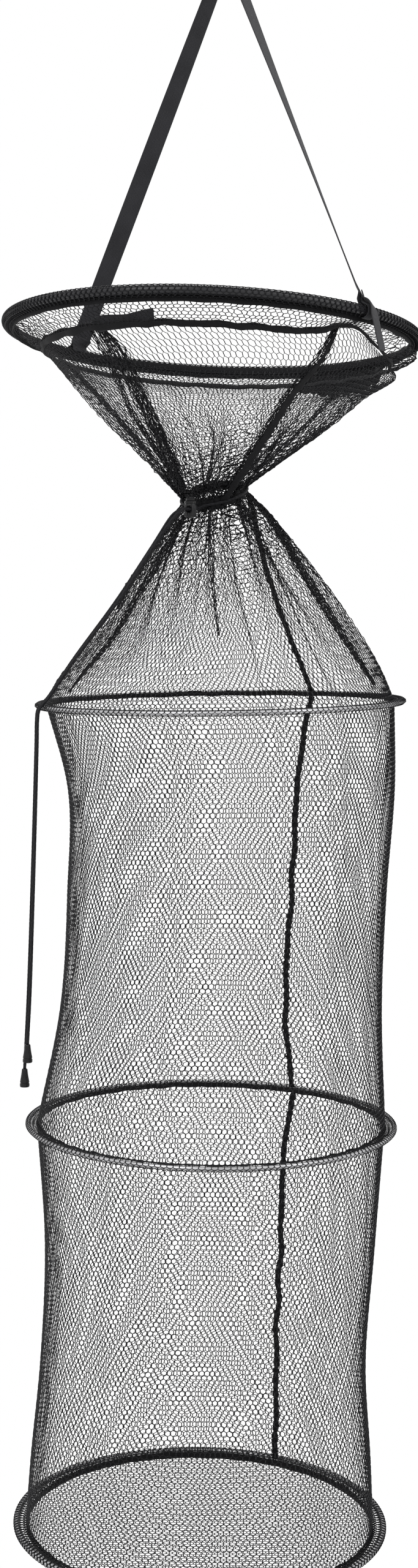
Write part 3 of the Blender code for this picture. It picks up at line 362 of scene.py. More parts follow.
def net_surface(top, bottom, radii, heights, folds=None, flat=0.0, lift=None):
    """The netting between two levels. radii has rows of (share down, radius, sideways drift)."""
    shares, widths, drifts = zip(*radii)

    def surface(bearing, share):
        bearing, share = np.broadcast_arrays(np.asarray(bearing, float), np.asarray(share, float))
        s = share[..., None]
        drift = smooth_between(shares, drifts, share)[..., None]
        centre = np.array(top[0]) * (1 - s) + np.array(bottom[0]) * s + drift * np.array((1.0, 0.0, 0.0))
        roll, pitch = (top[k] + (bottom[k] - top[k]) * share for k in (1, 2))
        radius = smooth_between(shares, widths, share)
        height = heights[0] * (1 - share) + heights[1] * share
        if lift:
            height = height + lift(bearing) * np.clip(1 - share / LIFT_FADE, 0, 1) ** 1.5
        if flat:
            radius = radius * (1 + flat * np.sin(math.pi * share) * (lens_share(bearing, LENS_DEPTH) - 1))
        if folds:
            out, aside = folds(bearing, share)
            radius, bearing = radius + out, bearing + aside
        return on_level((centre, roll, pitch), bearing, radius, height)

    return surface


def profile_surface(level, centre_r, path, wave=None):
    """A surface whose section is a path of (out, up) points round a hoop's tube."""
    path = np.array(path, float)
    along = arc_length(path) / arc_length(path)[-1]

    def surface(bearing, share):
        bearing, share = np.broadcast_arrays(np.asarray(bearing, float), np.asarray(share, float))
        out, up = (np.interp(share, along, column) for column in path.T)
        if wave:
            more_out, more_up = wave(bearing, share)
            out, up = out + more_out, up + more_up
        return on_level(level, bearing, centre_r + out, up)

    return surface


def surface_ways(surface, bearing, share, side_step, down_step):
    """The ways across, down and out of a surface at its points."""
    across = unit(surface(bearing + side_step, share) - surface(bearing - side_step, share))
    above, below = np.maximum(share - down_step, 0), np.minimum(share + down_step, 1)
    down = unit(surface(bearing, below) - surface(bearing, above))
    return across, down, unit(np.cross(down, across))


# Mesh making

def mesh_object(name, verts, quads, tris=(), uv=None, smooth_deg=None):
    quads = np.asarray(quads, int).reshape(-1, 4)
    tris = np.asarray(tris, int).reshape(-1, 3)
    corners = np.concatenate([quads.ravel(), tris.ravel()])
    starts = np.concatenate([np.arange(len(quads)) * 4, len(quads) * 4 + np.arange(len(tris)) * 3])
    data = bpy.data.meshes.new(name)
    data.vertices.add(len(verts))
    data.vertices.foreach_set("co", np.asarray(verts, float).ravel())
    data.loops.add(len(corners))
    data.loops.foreach_set("vertex_index", corners)
    data.polygons.add(len(starts))
    data.polygons.foreach_set("loop_start", starts)
    data.update(calc_edges=True)
    data.validate()
    if uv is not None:
        data.uv_layers.new(name="length").data.foreach_set("uv", uv.reshape(-1, 2)[corners].ravel())
    data.shade_smooth()
    if smooth_deg:
        data.set_sharp_from_angle(angle=math.radians(smooth_deg))
    return show(name, data)


def skin(name, points, closed, uv=None, smooth_deg=None):
    """A closed skin over rows of points: each row is a closed section, and the rows close or are capped."""
    rows, count = points.shape[:2]
    verts = points.reshape(-1, 3)
    i = np.arange(rows if closed else rows - 1)[:, None]
    k = np.arange(count)[None, :]
    j, n = (i + 1) % rows, (k + 1) % count
    quads = stack(i * count + k, i * count + n, j * count + n, j * count + k).reshape(-1, 4)
    m = np.arange(1, count - 1)
    fan = stack(0, m, m + 1)
    tris = fan[:0] if closed else np.concatenate([fan[:, ::-1], fan + (rows - 1) * count])
    a, b, c, d = ((verts - verts.mean(0))[quads[:, k]] for k in range(4))
    inside_out = np.sum(np.cross(a, b) * c) + np.sum(np.cross(a, c) * d) < 0
    if inside_out:
        quads, tris = quads[:, ::-1], tris[:, ::-1]
    return mesh_object(name, verts, quads, tris, uv, smooth_deg)


def tangents(centres, closed):
    if closed:
        return unit(np.roll(centres, -1, 0) - np.roll(centres, 1, 0))
    return unit(np.gradient(centres, axis=0))


def carried_frame(centres, closed):
    """Side and up directions carried along a line without twist."""
    ways = tangents(centres, closed)
    side = np.cross(ways[0], (0.0, 0.0, 1.0))
    if np.linalg.norm(side) < 0.1:
        side = np.cross(ways[0], (1.0, 0.0, 0.0))
    sides = []
    for way in ways:
        side = unit(side - way * np.dot(side, way))
        sides.append(side)
    sides = np.array(sides)
    return sides, np.cross(ways, sides)


def tube(name, centres, radius, sides=16, closed=False, braid=0.0):
    """A round tube or a braided cord along a line, with its length and girth in its UVs."""
    side, up = carried_frame(centres, closed)
    angle = bearings(sides)
    length = arc_length(centres)[:, None]
    r = np.full((len(centres), sides), float(radius))
    if braid:
        turn = TAU * length / CORD_LAY
        left, right = np.cos(4 * angle[None, :] + turn), np.cos(4 * angle[None, :] - turn)
        r *= 1 + braid * (np.maximum(left, right) - 0.45)
    ring = side[:, None, :] * np.cos(angle)[None, :, None] + up[:, None, :] * np.sin(angle)[None, :, None]
    return skin(name, centres[:, None, :] + ring * r[..., None], closed, stack(length, angle / TAU))


def ribbon_section(bead):
    """A flat woven section with rounded edges: (across, through) from -1 to 1. bead thickens its selvedges."""
    across = -np.cos(np.linspace(0.0, math.pi, 9))
    thick = np.sqrt(np.clip(1 - np.abs(across) ** 6, 0.12, 1)) * (1 + bead * (np.abs(across) > 0.85))
    return np.concatenate([stack(across, thick), stack(across[::-1], -thick[::-1])])


def ribbon(name, centres, sides, half, thickness, closed=False, ripple=None, bead=0.0):
    """A woven tape along a line. ripple(length, across) lifts it off its middle surface."""
    ways = tangents(centres, closed)
    sides = unit(sides - ways * np.sum(sides * ways, -1, keepdims=True))
    faces = np.cross(ways, sides)
    section = ribbon_section(bead)
    length = arc_length(centres)[:, None]
    across = section[None, :, 0] * np.broadcast_to(half, (len(centres),))[:, None]
    through = np.broadcast_to(section[None, :, 1] * thickness / 2, across.shape)
    if ripple:
        through = through + ripple(length, section[None, :, 0])
    points = centres[:, None] + sides[:, None] * across[..., None] + faces[:, None] * through[..., None]
    return skin(name, points, closed, stack(length, across))


def lathe(name, profile, steps, rib_depth=0.0, rib_span=(0.0, 0.0)):
    """A turned solid about its own Z axis from a closed (radius, height) profile in millimetres, ribbed between two
    heights of it."""
    profile = np.array(profile, float)
    angle = bearings(steps)[:, None]
    grip = (profile[:, 1] >= rib_span[0]) & (profile[:, 1] <= rib_span[1])
    profile = profile / 1000
    radius = profile[None, :, 0] - rib_depth * (0.5 - 0.5 * np.cos(GRIP_RIBS * angle)) * grip[None, :]
    return skin(name, stack(radius * np.cos(angle), radius * np.sin(angle), profile[:, 1]), True, smooth_deg=35)


# Netting

def waver(seed, lobes, size):
    """A small irregular wave round a ring."""
    rng = np.random.default_rng(seed)
    terms = [(int(rng.integers(lobes // 2, lobes * 2)), rng.uniform(0, TAU), rng.uniform(0.4, 1.0)) for _ in range(5)]

    def wave(bearing):
        return size * sum(w * np.sin(n * bearing + p) for n, p, w in terms) / 2

    return wave


def wobble(bearing, share, seed, size):
    """A slow wandering of the netting's lines, in share of the drawn unit."""
    rng = np.random.default_rng(seed)
    total = np.zeros(np.broadcast(bearing, share).shape)
    for _ in range(6):
        lobes, turns = rng.integers(1, 9), rng.uniform(0.3, 3.0)
        total = total + rng.uniform(0.4, 1.0) * np.sin(lobes * bearing + TAU * turns * share + rng.uniform(0, TAU))
    return total * size / 3


def strand_ends(spots, side, up, turn, radius):
    """The three corners of a strand's end at each spot."""
    angle = turn + TAU * np.arange(3)[:, None] / 3
    return spots[:, None] + (side[:, None] * np.cos(angle) + up[:, None] * np.sin(angle)) * radius


def strand_faces(count, first):
    """The faces of closed three-sided strands whose six corners follow each other from a first index."""
    ids = first + np.arange(count) * 6
    quads = [stack(ids + s, ids + (s + 1) % 3, ids + 3 + (s + 1) % 3, ids + 3 + s) for s in range(3)]
    return quads, [stack(ids, ids + 2, ids + 1), stack(ids + 3, ids + 4, ids + 5)]


def lattice(name, surface, cells, rows, seed, sway, span=(0.0, 1.0), strand=STRAND_R, joint=JOINT_R, length=None,
            crumple=None):
    """Knotless netting: zigzag rows of twine with joints between them, as closed three-sided strands."""
    first, last = round(span[0] * 2 * cells), round(span[1] * 2 * cells)
    whole = last - first == 2 * cells
    k = np.arange(first, last if whole else last + 1)
    col, row = np.meshgrid(k, np.arange(rows + 1))
    low = (col + row) % 2 == 1
    bearing = TAU * col / (2 * cells)
    share = np.clip((row + np.where(low, ZIGZAG, -ZIGZAG)) / rows, 0.0, 1.0)
    length = length or rows * ROW_PITCH
    radius = CELL_WIDE * cells / TAU
    bearing = bearing + wobble(bearing, share, seed, sway / radius)
    end_free = np.sin(math.pi * share) ** 0.5
    share = np.clip(share + wobble(bearing, share, seed + 50, sway / length) * end_free, 0.0, 1.0)
    shaken = np.zeros(share.shape)
    if crumple:
        rng = np.random.default_rng(seed + 7)
        loose = of(crumple, share, bearing)
        bearing = bearing + rng.normal(size=share.shape) * loose / radius
        share = np.clip(share + rng.normal(size=share.shape) * end_free * 0.25 * loose / length, 0.0, 1.0)
        shaken = rng.normal(size=share.shape) * end_free * 0.2 * loose
    across, _, out = surface_ways(surface, bearing, share, 0.002, 0.2 / rows)
    down = unit(np.cross(across, out))
    spot = surface(bearing, share) + out * shaken[..., None]
    angle = math.pi / 6 + TAU * np.arange(3) / 3
    ring = out[..., None, :] * np.cos(angle)[:, None] + down[..., None, :] * np.sin(angle)[:, None] * 1.13
    rail = (spot[..., None, :] + ring * np.asarray(of(strand, share))[..., None, None]).reshape(-1, 3)
    index = (row * len(k) + (col - first)) * 3
    a = index if whole else index[:, :-1]
    b = np.roll(index, -1, 1) if whole else index[:, 1:]
    quads = [stack(a + s, a + (s + 1) % 3, b + (s + 1) % 3, b + s).reshape(-1, 4) for s in range(3)]
    start, stop = index[:, 0], index[:, -1]
    tris = [] if whole else [stack(start, start + 2, start + 1), stack(stop, stop + 1, stop + 2)]
    used = low[:-1] if whole else low[:-1] & ((col[:-1] < last) | (span[1] < 1))
    ends = [strand_ends(spot[part][used], out[part][used], -across[part][used], -math.pi / 2, joint)
            for part in (slice(None, -1), slice(1, None))]
    joints = np.concatenate(ends, axis=1).reshape(-1, 3)
    more_quads, more_tris = strand_faces(len(ends[0]), len(rail))
    return mesh_object(name, np.concatenate([rail, joints]), np.concatenate(quads + more_quads),
                       np.concatenate(tris + more_tris))


# Materials

def add_node(tree, kind, inputs, **settings):
    """A new node, each input set to a value or linked to another node's output."""
    made = tree.nodes.new("ShaderNode" + kind)
    for key, value in settings.items():
        setattr(made, key, value)
    join(tree, made, inputs)
    return made


def join(tree, made, inputs):
    for key, value in inputs.items():
        if isinstance(value, bpy.types.NodeSocket):
            tree.links.new(value, made.inputs[key])
        else:
            made.inputs[key].default_value = value


def math_node(tree, operation, *values):
    return add_node(tree, "Math", dict(enumerate(values)), operation=operation).outputs["Value"]


class Finish:
    """A node material in the making. Its methods add nodes and return what they give."""

    def __init__(self, name, colour, roughness, metallic=0.0, specular=0.5):
        self.material = bpy.data.materials.new(name)
        self.material.use_nodes = True
        self.tree, self.colour = self.material.node_tree, colour
        self.shader = self.tree.nodes["Principled BSDF"]
        join(self.tree, self.shader, {"Base Color": (*colour, 1.0), "Roughness": roughness, "Metallic": metallic,
                                      "Specular IOR Level": specular})
        self.place = add_node(self.tree, "TexCoord", {}).outputs["Object"]

    def noise(self, scale, detail=3.0, rough=0.5):
        inputs = {"Vector": self.place, "Scale": scale, "Detail": detail, "Roughness": rough}
        return add_node(self.tree, "TexNoise", inputs).outputs["Fac"]

    def ramp(self, source, low, high, from_low=0.3, from_high=0.7):
        inputs = {"Value": source, "From Min": from_low, "From Max": from_high, "To Min": low, "To Max": high}
        return add_node(self.tree, "MapRange", inputs).outputs["Result"]

    def calc(self, operation, *values):
        return math_node(self.tree, operation, *values)

    def times(self, a, b):
        return self.calc("MULTIPLY", a, b)

    def waves(self, source, count):
        """A sine from 0 to 1 with so many waves in each unit of the source."""
        return self.ramp(self.calc("SINE", self.times(source, TAU * count)), 0.0, 1.0, -1.0, 1.0)

    def along_and_across(self):
        """A tape's or cord's length and width in its UVs."""
        source = add_node(self.tree, "UVMap", {}, uv_map="length").outputs["UV"]
        parts = add_node(self.tree, "SeparateXYZ", {"Vector": source}).outputs
        return parts["X"], parts["Y"]

    def done(self, shade, rough=None, height=None, depth=0.0, strength=1.0):
        """The material, with its colour scaled, its roughness and its relief joined to the shader."""
        scaled = add_node(self.tree, "VectorMath", {0: self.colour, "Scale": shade}, operation="SCALE")
        join(self.tree, self.shader, {"Base Color": scaled.outputs["Vector"]})
        if rough:
            relief = add_node(self.tree, "Bump", {"Strength": strength, "Distance": depth, "Height": height})
            join(self.tree, self.shader, {"Roughness": rough, "Normal": relief.outputs["Normal"]})
        return self.material


def twine_material():
    made = Finish("net_twine", (0.014, 0.014, 0.016), 0.55, specular=0.22)
    fibre, patch = made.noise(2600.0, 2.0), made.noise(22.0, 2.0)
    shade = made.times(made.ramp(fibre, 0.7, 1.35), made.ramp(patch, 0.85, 1.2))
    return made.done(shade, made.ramp(fibre, 0.42, 0.68), fibre, 0.00025, 0.6)


def webbing_material():
    made = Finish("strap_webbing", (0.034, 0.034, 0.038), 0.7, specular=0.25)
    join(made.tree, made.shader, {"Sheen Weight": 0.12, "Sheen Roughness": 0.4})
    rib_wide, pick_long = 0.0016, 0.0011
    along, across = made.along_and_across()
    ribs = made.calc("ABSOLUTE", made.calc("SINE", made.times(across, math.pi / rib_wide)))
    chevron = made.waves(made.calc("ADD", along, made.calc("PINGPONG", across, rib_wide)), 1 / pick_long)
    weave = made.times(made.ramp(ribs, 0.35, 1.0, 0.0, 0.7), made.ramp(chevron, 0.45, 1.0, 0.0, 1.0))
    fuzz, cloud = made.noise(3000.0, 2.0), made.noise(35.0)
    shade = made.times(made.ramp(weave, 0.55, 1.35, 0.1, 1.0), made.ramp(cloud, 0.85, 1.2))
    height = made.calc("ADD", weave, made.times(fuzz, 0.25))
    return made.done(shade, made.ramp(fuzz, 0.6, 0.85), height, 0.0003, 0.9)


def tape_material():
    made = Finish("binding_tape", (0.007, 0.007, 0.008), 0.72, specular=0.2)
    rib_long, rib_wide = 0.0009, 0.0012
    along, across = made.along_and_across()
    rib, cross = made.waves(along, 1 / rib_long), made.waves(across, 1 / rib_wide)
    weave = made.times(made.ramp(rib, 0.4, 1.0, 0.0, 1.0), made.ramp(cross, 0.5, 1.0, 0.0, 1.0))
    cloud, fuzz = made.noise(60.0), made.noise(3500.0, 2.0)
    shade = made.times(made.ramp(weave, 0.7, 1.4, 0.1, 1.0), made.ramp(cloud, 0.8, 1.25))
    return made.done(shade, made.ramp(fuzz, 0.62, 0.85), made.calc("ADD", weave, fuzz), 0.0002, 0.8)


def cord_material():
    made = Finish("braided_cord", (0.012, 0.012, 0.014), 0.6, specular=0.2)
    along, around = made.along_and_across()
    turn, pitch = made.times(around, 4.0), made.times(along, 1 / CORD_LAY)
    plait = made.calc("MAXIMUM", *(made.waves(made.calc(way, turn, pitch), 1.0) for way in ("ADD", "SUBTRACT")))
    fibre = made.noise(4000.0, 2.0)
    shade = made.times(made.ramp(plait, 0.55, 1.3, 0.3, 1.0), made.ramp(fibre, 0.8, 1.2))
    height = made.calc("ADD", plait, made.times(fibre, 0.4))
    return made.done(shade, made.ramp(fibre, 0.5, 0.72), height, 0.0002, 0.8)


def plastic_material(name, colour, roughness):
    made = Finish(name, colour, 0.3, specular=0.28)
    grain, cloud = made.noise(1800.0, 2.0), made.noise(160.0, 4.0)
    return made.done(made.ramp(cloud, 0.85, 1.25), made.ramp(cloud, *roughness), grain, 0.00006, 0.5)


def steel_material(name, colour, roughness):
    made = Finish(name, colour, 0.25, 1.0)
    cloud, grain = made.noise(45.0, 4.0), made.noise(1500.0, 3.0, 0.7)
    return made.done(made.ramp(cloud, 0.75, 1.15), made.ramp(grain, *roughness), grain, 0.00004, 0.4)


def paper_material():
    made = Finish("floor_paper", FLOOR_COLOUR, 0.8)
    return made.done(made.ramp(made.noise(6.0), 0.985, 1.015))


SLOTS = {"mesh": twine_material(), "webbing": webbing_material(), "tape": tape_material(), "cord": cord_material(),
         "plastic": plastic_material("moulded_plastic", (0.008, 0.008, 0.009), (0.16, 0.32)),
         "hoop_tube": steel_material("hoop_steel", (0.5, 0.5, 0.51), (0.22, 0.4)),
         "coated_tube": plastic_material("coated_tube", (0.03, 0.03, 0.033), (0.08, 0.18)),
         "spring_steel": steel_material("spring_wire", (0.55, 0.56, 0.58), (0.2, 0.4))}


def dress(obj, slot, *nodes, body=None):
    """Give a piece its finish, hide the CAD nodes it stands for and parent it to the body it rides on."""
    obj.data.materials.append(SLOTS[slot])
    if nodes:
        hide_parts(*nodes)
    if body:
        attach(obj, body)
    return obj


def dress_between(obj, slot, link, *nodes):
    """The same without a body, for a piece that hangs between two bodies: its place is baked into its mesh."""
    upper, lower, start, end = link
    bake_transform(dress(obj, slot, *nodes), upper, lower, tuple(start), tuple(end))


# Drawcord, its lock and its bells

def add_cord(number):
    route = CORD_ROUTES[number]
    line = even_line(route, CORD_STEP)
    bell = lathe(f"tail_bell_{number}", BELL_PROFILE, 40, 0.00025, BELL_GRIP)
    bell.location = Vector(route[-1]) - Vector((0.0, 0.0, BELL_DROP))
    dress(bell, "plastic", f"cord_bell_{number}", body="hoop_2")
    cord = tube(f"drawcord_{number}", line, CORD_PLAIT_R, braid=CORD_PLAIT)
    dress_between(cord, "cord", CORD_LINK, f"drawcord_run_{number}", f"drawcord_tail_{number}")
    float(arc_length(line)[-1])
    [tuple(p) for p in line]


def add_loop():
    """The cord from beyond the lock, round the waist and out through the lock again."""
    a = math.radians(LOCK_BEARING)
    out, across = np.array((math.cos(a), math.sin(a), 0)), np.array((-math.sin(a), math.cos(a), 0))
    half = CORDS_APART / 2
    corner, turn_r = WAIST_R + CORDS_APART * 1.6, WAIST_R + CORDS_APART * 0.4
    splay = math.degrees(half * 1.25 / corner)
    lead = math.degrees(CORDS_APART * 2.1 / WAIST_R)
    turn = lead * 0.55

    def waist_point(turn_deg, radius):
        return on_level(WAIST, math.radians(LOCK_BEARING + turn_deg), radius)

    legs = [[LOCK + out * reach + across * side * half
             for reach in (LOCK_R + CORD_BEYOND_LOCK + CORD_R, 0.0, -(LOCK_R + CORD_R))]
            + [waist_point(side * splay, corner), waist_point(side * turn, turn_r)]
            for side in (1, -1)]
    ring = [waist_point(turn_deg, WAIST_R) for turn_deg in np.linspace(lead, 360.0 - lead, 22)]
    line = even_line(legs[0] + ring + legs[1][::-1], CORD_STEP)
    dress(tube("waist_drawcord", line, CORD_PLAIT_R, braid=CORD_PLAIT), "cord", "drawcord_loop", body="waist")


def cut_slot(obj, height, lift):
    """Cut a flattened oval slot for the two cords through a part of the lock."""
    a = bearings(16)
    wide = np.copysign(np.minimum(np.abs(np.cos(a)) * SLOT_HALF * 1.35, SLOT_HALF), np.cos(a))
    rings = [stack(side, wide, np.sin(a) * height / 2) for side in (-SLOT_REACH, SLOT_REACH)]
    cutter = skin("slot_cutter", np.array(rings), False)
    cutter.rotation_euler = (0.0, 0.0, math.radians(LOCK_BEARING))
    cutter.location.z = lift
    hole = obj.modifiers.new("slot", "BOOLEAN")
    hole.operation, hole.object, hole.solver = "DIFFERENCE", cutter, "EXACT"
    bpy.context.view_layer.update()
    data = bpy.data.meshes.new_from_object(obj.evaluated_get(bpy.context.evaluated_depsgraph_get()))
    obj.modifiers.clear()
    obj.data = data
    bpy.data.objects.remove(cutter, do_unlink=True)


def add_lock():
    """A ribbed barrel and a domed plunger, and the spring coil between them."""
    barrel = lathe("lock_barrel", BARREL_PROFILE, 60, 0.0005, BARREL_GRIP)
    plunger = lathe("lock_plunger", PLUNGER_PROFILE, 60)
    cut_slot(barrel, BARREL_SLOT, 0.0)
    cut_slot(plunger, PLUNGER_SLOT, PLUNGER_SLOT_LIFT)
    barrel.location = plunger.location = Vector(LOCK)
    dress(barrel, "plastic", "cord_lock_barrel", body="cord_lock")
    dress(plunger, "plastic", "cord_lock_plunger", body="lock_button")
    turn = np.linspace(0, 1, 90)
    rise = SPRING_FOOT + SPRING_WIRE + (SPRING_HEIGHT - 2 * SPRING_WIRE) * turn
    angle = TAU * SPRING_TURNS * turn
    coil = LOCK + stack(SPRING_R * np.cos(angle), SPRING_R * np.sin(angle), rise)
    spring = dress(tube("lock_spring", coil, SPRING_WIRE, 8), "spring_steel", "cord_lock_spring", body="cord_lock")
    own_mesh(spring)


add_cord(1)
add_cord(2)
add_loop()
add_lock()


# Hoops with their netting pockets and tapes

def add_pocket(name, level, centre_r, tube_r, depth, toward_deg, seat, body, node, seed, twine):
    """Netting round a tube, from one lip to the other."""
    ring = tube_r + POCKET_ROOM + seat
    start = math.acos(min(0.98, ring / depth))
    a = np.linspace(start, TAU - start, 25)
    x = np.concatenate([[depth], ring * np.cos(a), [depth]])
    y = np.concatenate([[POCKET_LIP], ring * np.sin(a), [-POCKET_LIP]])
    t = math.radians(toward_deg)
    path = stack(x * math.cos(t) - y * math.sin(t), x * math.sin(t) + y * math.cos(t))
    rows = max(5, round(arc_length(path)[-1] / ROW_PITCH))
    obj = lattice(name, profile_surface(level, centre_r, path), round(TAU * centre_r / CELL_WIDE), rows, seed,
                  POCKET_SWAY, strand=twine[0], joint=twine[1])
    dress(obj, "mesh", node, body=body)


def add_tube(name, level, radius, tube_r, body, node, slot):
    line = on_level(level, bearings(288), radius)
    dress(tube(name, line, tube_r, closed=True), slot, node, body=body)


def up_of(level):
    return lean(level, 0.0, 0.0, 1.0)


def add_ring_tape(name, level, radius, height, half, thickness, body, seed, *nodes, wave=0.0005):
    bearing = bearings(360)
    line = on_level(level, bearing, radius + waver(seed, 24, wave * 0.4)(bearing),
                    height + waver(seed + 1, 22, wave)(bearing))
    dress(ribbon(name, line, up_of(level), of(half, bearing), thickness, closed=True), "tape", *nodes, body=body)


def add_hoop(number, tube_r, half, seed, twine=(0.00035, 0.00056)):
    """A thin hoop in its pocket, with a ragged binding tape inside. twine has the strands' and joints' radii."""
    body, level, ragged = f"hoop_{number}", HOOPS[number], waver(seed + 9, 60, 0.12)
    add_tube(f"{body}_tube", level, HOOP_R, tube_r, body, f"{body}_ring", "hoop_tube")
    add_pocket(f"{body}_netting_pocket", level, HOOP_R, tube_r, HOOP_POCKET_DEPTH, 180.0, 0.0004, body,
               f"{body}_pocket", seed, twine)
    add_ring_tape(f"{body}_binding", level, TAPE_R, 0.0, lambda b: half * (0.55 + 0.3 * np.sin(b) + ragged(b)),
                  TAPE_THICKNESS, body, seed + 7, f"{body}_tape")


add_hoop(2, HOOP_TUBE_R, 0.0031, 12)
add_hoop(3, HOOP_TUBE_R, 0.0031, 13)
add_hoop(4, BASE_TUBE_R, 0.0036, 14, (0.00046, 0.00072))


# Mouth hoop, cuff and hem

def lip_point(distance, aside=0.0):
    """(radius, height) at a distance from the mouth tube's centre along the cuff, and off its face."""
    return MOUTH_HOOP_R + distance * LIP_OUT - aside * LIP_UP, distance * LIP_UP + aside * LIP_OUT


def cuff_bulge(bearing):
    """How far the cuff's foot is pulled outward beside the right foot of the strap."""
    return BULGE_OUT * np.exp(-(apart(bearing, math.radians(BULGE_DEG)) / math.radians(BULGE_SPREAD)) ** 2)


def hem_lift(bearing):
    """How far the cuff's foot is drawn up toward the right foot of the strap."""
    off = apart(bearing, math.radians(LIFT_DEG))
    return LIFT_UP * np.exp(-(off / np.radians(np.where(off < 0, LIFT_BEFORE, LIFT_AFTER))) ** 2)


def add_mouth_ribbon(name, bearing, spot, slope, half, thickness, slot, node, **form):
    """A tape along the mouth at a (radius, height) of its plane, with its width along a slope of that plane."""
    line = on_level(MOUTH, bearing, *spot)
    dress(ribbon(name, line, lean(MOUTH, bearing, *slope), half, thickness, **form), slot, node, body="mouth")


def add_mouth():
    add_tube("mouth_tube", MOUTH, MOUTH_HOOP_R, MOUTH_TUBE_R, "mouth", "mouth_hoop", "coated_tube")
    add_pocket("mouth_netting_pocket", MOUTH, MOUTH_HOOP_R, MOUTH_TUBE_R, MOUTH_POCKET_DEPTH, LIP_DEG, 0.0005, "mouth",
               "mouth_pocket", 21, (0.00056, 0.0008))
    add_ring_tape("mouth_binding", MOUTH, MOUTH_HOOP_R - 0.0068, -0.004, 0.0066, TAPE_THICKNESS, "mouth", 22)


def add_cuff():
    slack = waver(24, 16, 0.0012)

    def sag(bearing, share):
        lift = slack(bearing) * np.sin(math.pi * share)
        bulge = cuff_bulge(bearing) * (share + 1.25 * np.sin(math.pi * share))
        return -lift * LIP_UP + bulge, lift * LIP_OUT + hem_lift(bearing) * share

    path = [(d * LIP_OUT, d * LIP_UP) for d in np.linspace(MOUTH_POCKET_DEPTH - 0.001, HEM_START + 0.001, 6)]
    obj = lattice("cuff_netting", profile_surface(MOUTH, MOUTH_HOOP_R, path, sag), 198, 7, 23, 0.0016,
                  crumple=lambda share, bearing: 0.0006 + 0.0024 * np.cos(bearing) ** 8)
    dress(obj, "mesh", "cuff_net", body="mouth")


def add_hem():
    bearing = bearings(400)
    r, z = lip_point(HEM_MIDDLE + waver(25, 18, 0.0009)(bearing), waver(26, 20, 0.0008)(bearing))
    half = np.interp(np.degrees(bearing), *zip(*HEM_HALF)) * (1 + waver(29, 50, 0.1)(bearing))
    add_mouth_ribbon("cuff_hem_band", bearing, (r + cuff_bulge(bearing), z + hem_lift(bearing)), (-0.5, -0.87), half,
                     HEM_THICKNESS, "tape", "cuff_hem", closed=True)


def add_hem_tail():
    """The band's loose end, which widens and rises a little toward its square cut."""
    share = np.linspace(0.0, 1.0, 70)
    bearing = np.radians(227.0 + 24.0 * share)
    r, z = lip_point(HEM_MIDDLE, -0.003)
    rise = -0.001 + 0.0045 * share + 0.0008 * np.sin(8 * share)
    half = np.interp(share, (0.0, 0.15, 0.6, 1.0), (0.004, 0.0085, 0.007, 0.0088))
    add_mouth_ribbon("hem_band_end", bearing, (r, z + rise), (-0.25, -0.97), half, TAPE_THICKNESS, "webbing",
                     "hem_tape_tail", ripple=lambda length, across: 0.0005 * np.sin(length * 260) * across)


def add_patch():
    """A bunched panel of doubled netting cloth sewn to the right rear of the cuff."""
    inward, down = 0.35, 0.94
    share = np.linspace(0, 1, 200)
    bearing = np.radians(25.0 + 35.0 * share)
    half = 0.0125 + waver(27, 30, 0.0022)(bearing * 2) + waver(28, 90, 0.001)(bearing * 2)
    half = half * np.interp(share, (0.0, 0.08, 0.3, 0.8, 0.93, 1.0), (0.45, 0.9, 1.08, 0.95, 0.8, 0.45))
    r, z = lip_point(MOUTH_POCKET_DEPTH + 0.001, 0.0028)

    def crumple(length, across):
        return (0.0011 * np.sin(length * 190 + 2.2 * across) + 0.0008 * np.sin(length * 75 - 3 * across)
                + 0.0005 * np.sin(length * 410 + 5 * across))

    add_mouth_ribbon("cuff_patch_cloth", bearing, (r - inward * half, z - down * half), (-inward, -down), half,
                     TAPE_THICKNESS, "tape", "cuff_patch", ripple=crumple)


add_mouth()
add_cuff()
add_hem()
add_hem_tail()
add_patch()


# Netting between the hoops

def fold_set(folds):
    """Folds from (bearing at the top, bearing at the foot, half width, depth, overlap, strength at the top,
    strength at the foot) rows, in degrees and metres."""
    rows = [(*(math.radians(v) for v in row[:3]), *row[3:]) for row in folds]

    def shape(bearing, share):
        out = np.zeros(bearing.shape)
        aside = np.zeros(bearing.shape)
        for top, foot, wide, depth, overlap, high, low in rows:
            deep = high + (low - high) * share
            t = apart(bearing, top + (foot - top) * share) / wide
            near = np.exp(-t * t)
            out = out - depth * deep * near * (1 + 0.8 * t)
            aside = aside - overlap * np.minimum(deep, 1.0) * wide * t * near
        return out, aside

    return shape


def gathered(folds, seed, fullness):
    """Folds together with the close pleats of a drawn end. fullness(share) runs from 0 to 1 at that end."""
    rng = np.random.default_rng(seed)
    pleats = [(count, deep, rng.uniform(0, TAU), rng.uniform(-2, 2)) for count, deep in PLEATS]

    def shape(bearing, share):
        out, aside = folds(bearing, share)
        full = fullness(share)
        for count, deep, phase, slant in pleats:
            turn = count * bearing + phase + slant * share
            out = out - PLEAT_DEPTH * deep * full * (1 - np.cos(turn))
            aside = aside - full * deep / count * np.sin(turn)
        return out, aside

    return shape


def even_folds(seed, wide, depth, overlap, high, low, count=9):
    """Folds spread about evenly round the net, each a little different."""
    rng = np.random.default_rng(seed)
    rows = []
    for k in range(count):
        b = 360.0 * (k + rng.uniform(-0.3, 0.3)) / count
        rows.append((b, b, wide * rng.uniform(0.7, 1.3), depth * rng.uniform(0.4, 1.2),
                     overlap * rng.uniform(0.5, 1.2), high, low))
    return rows


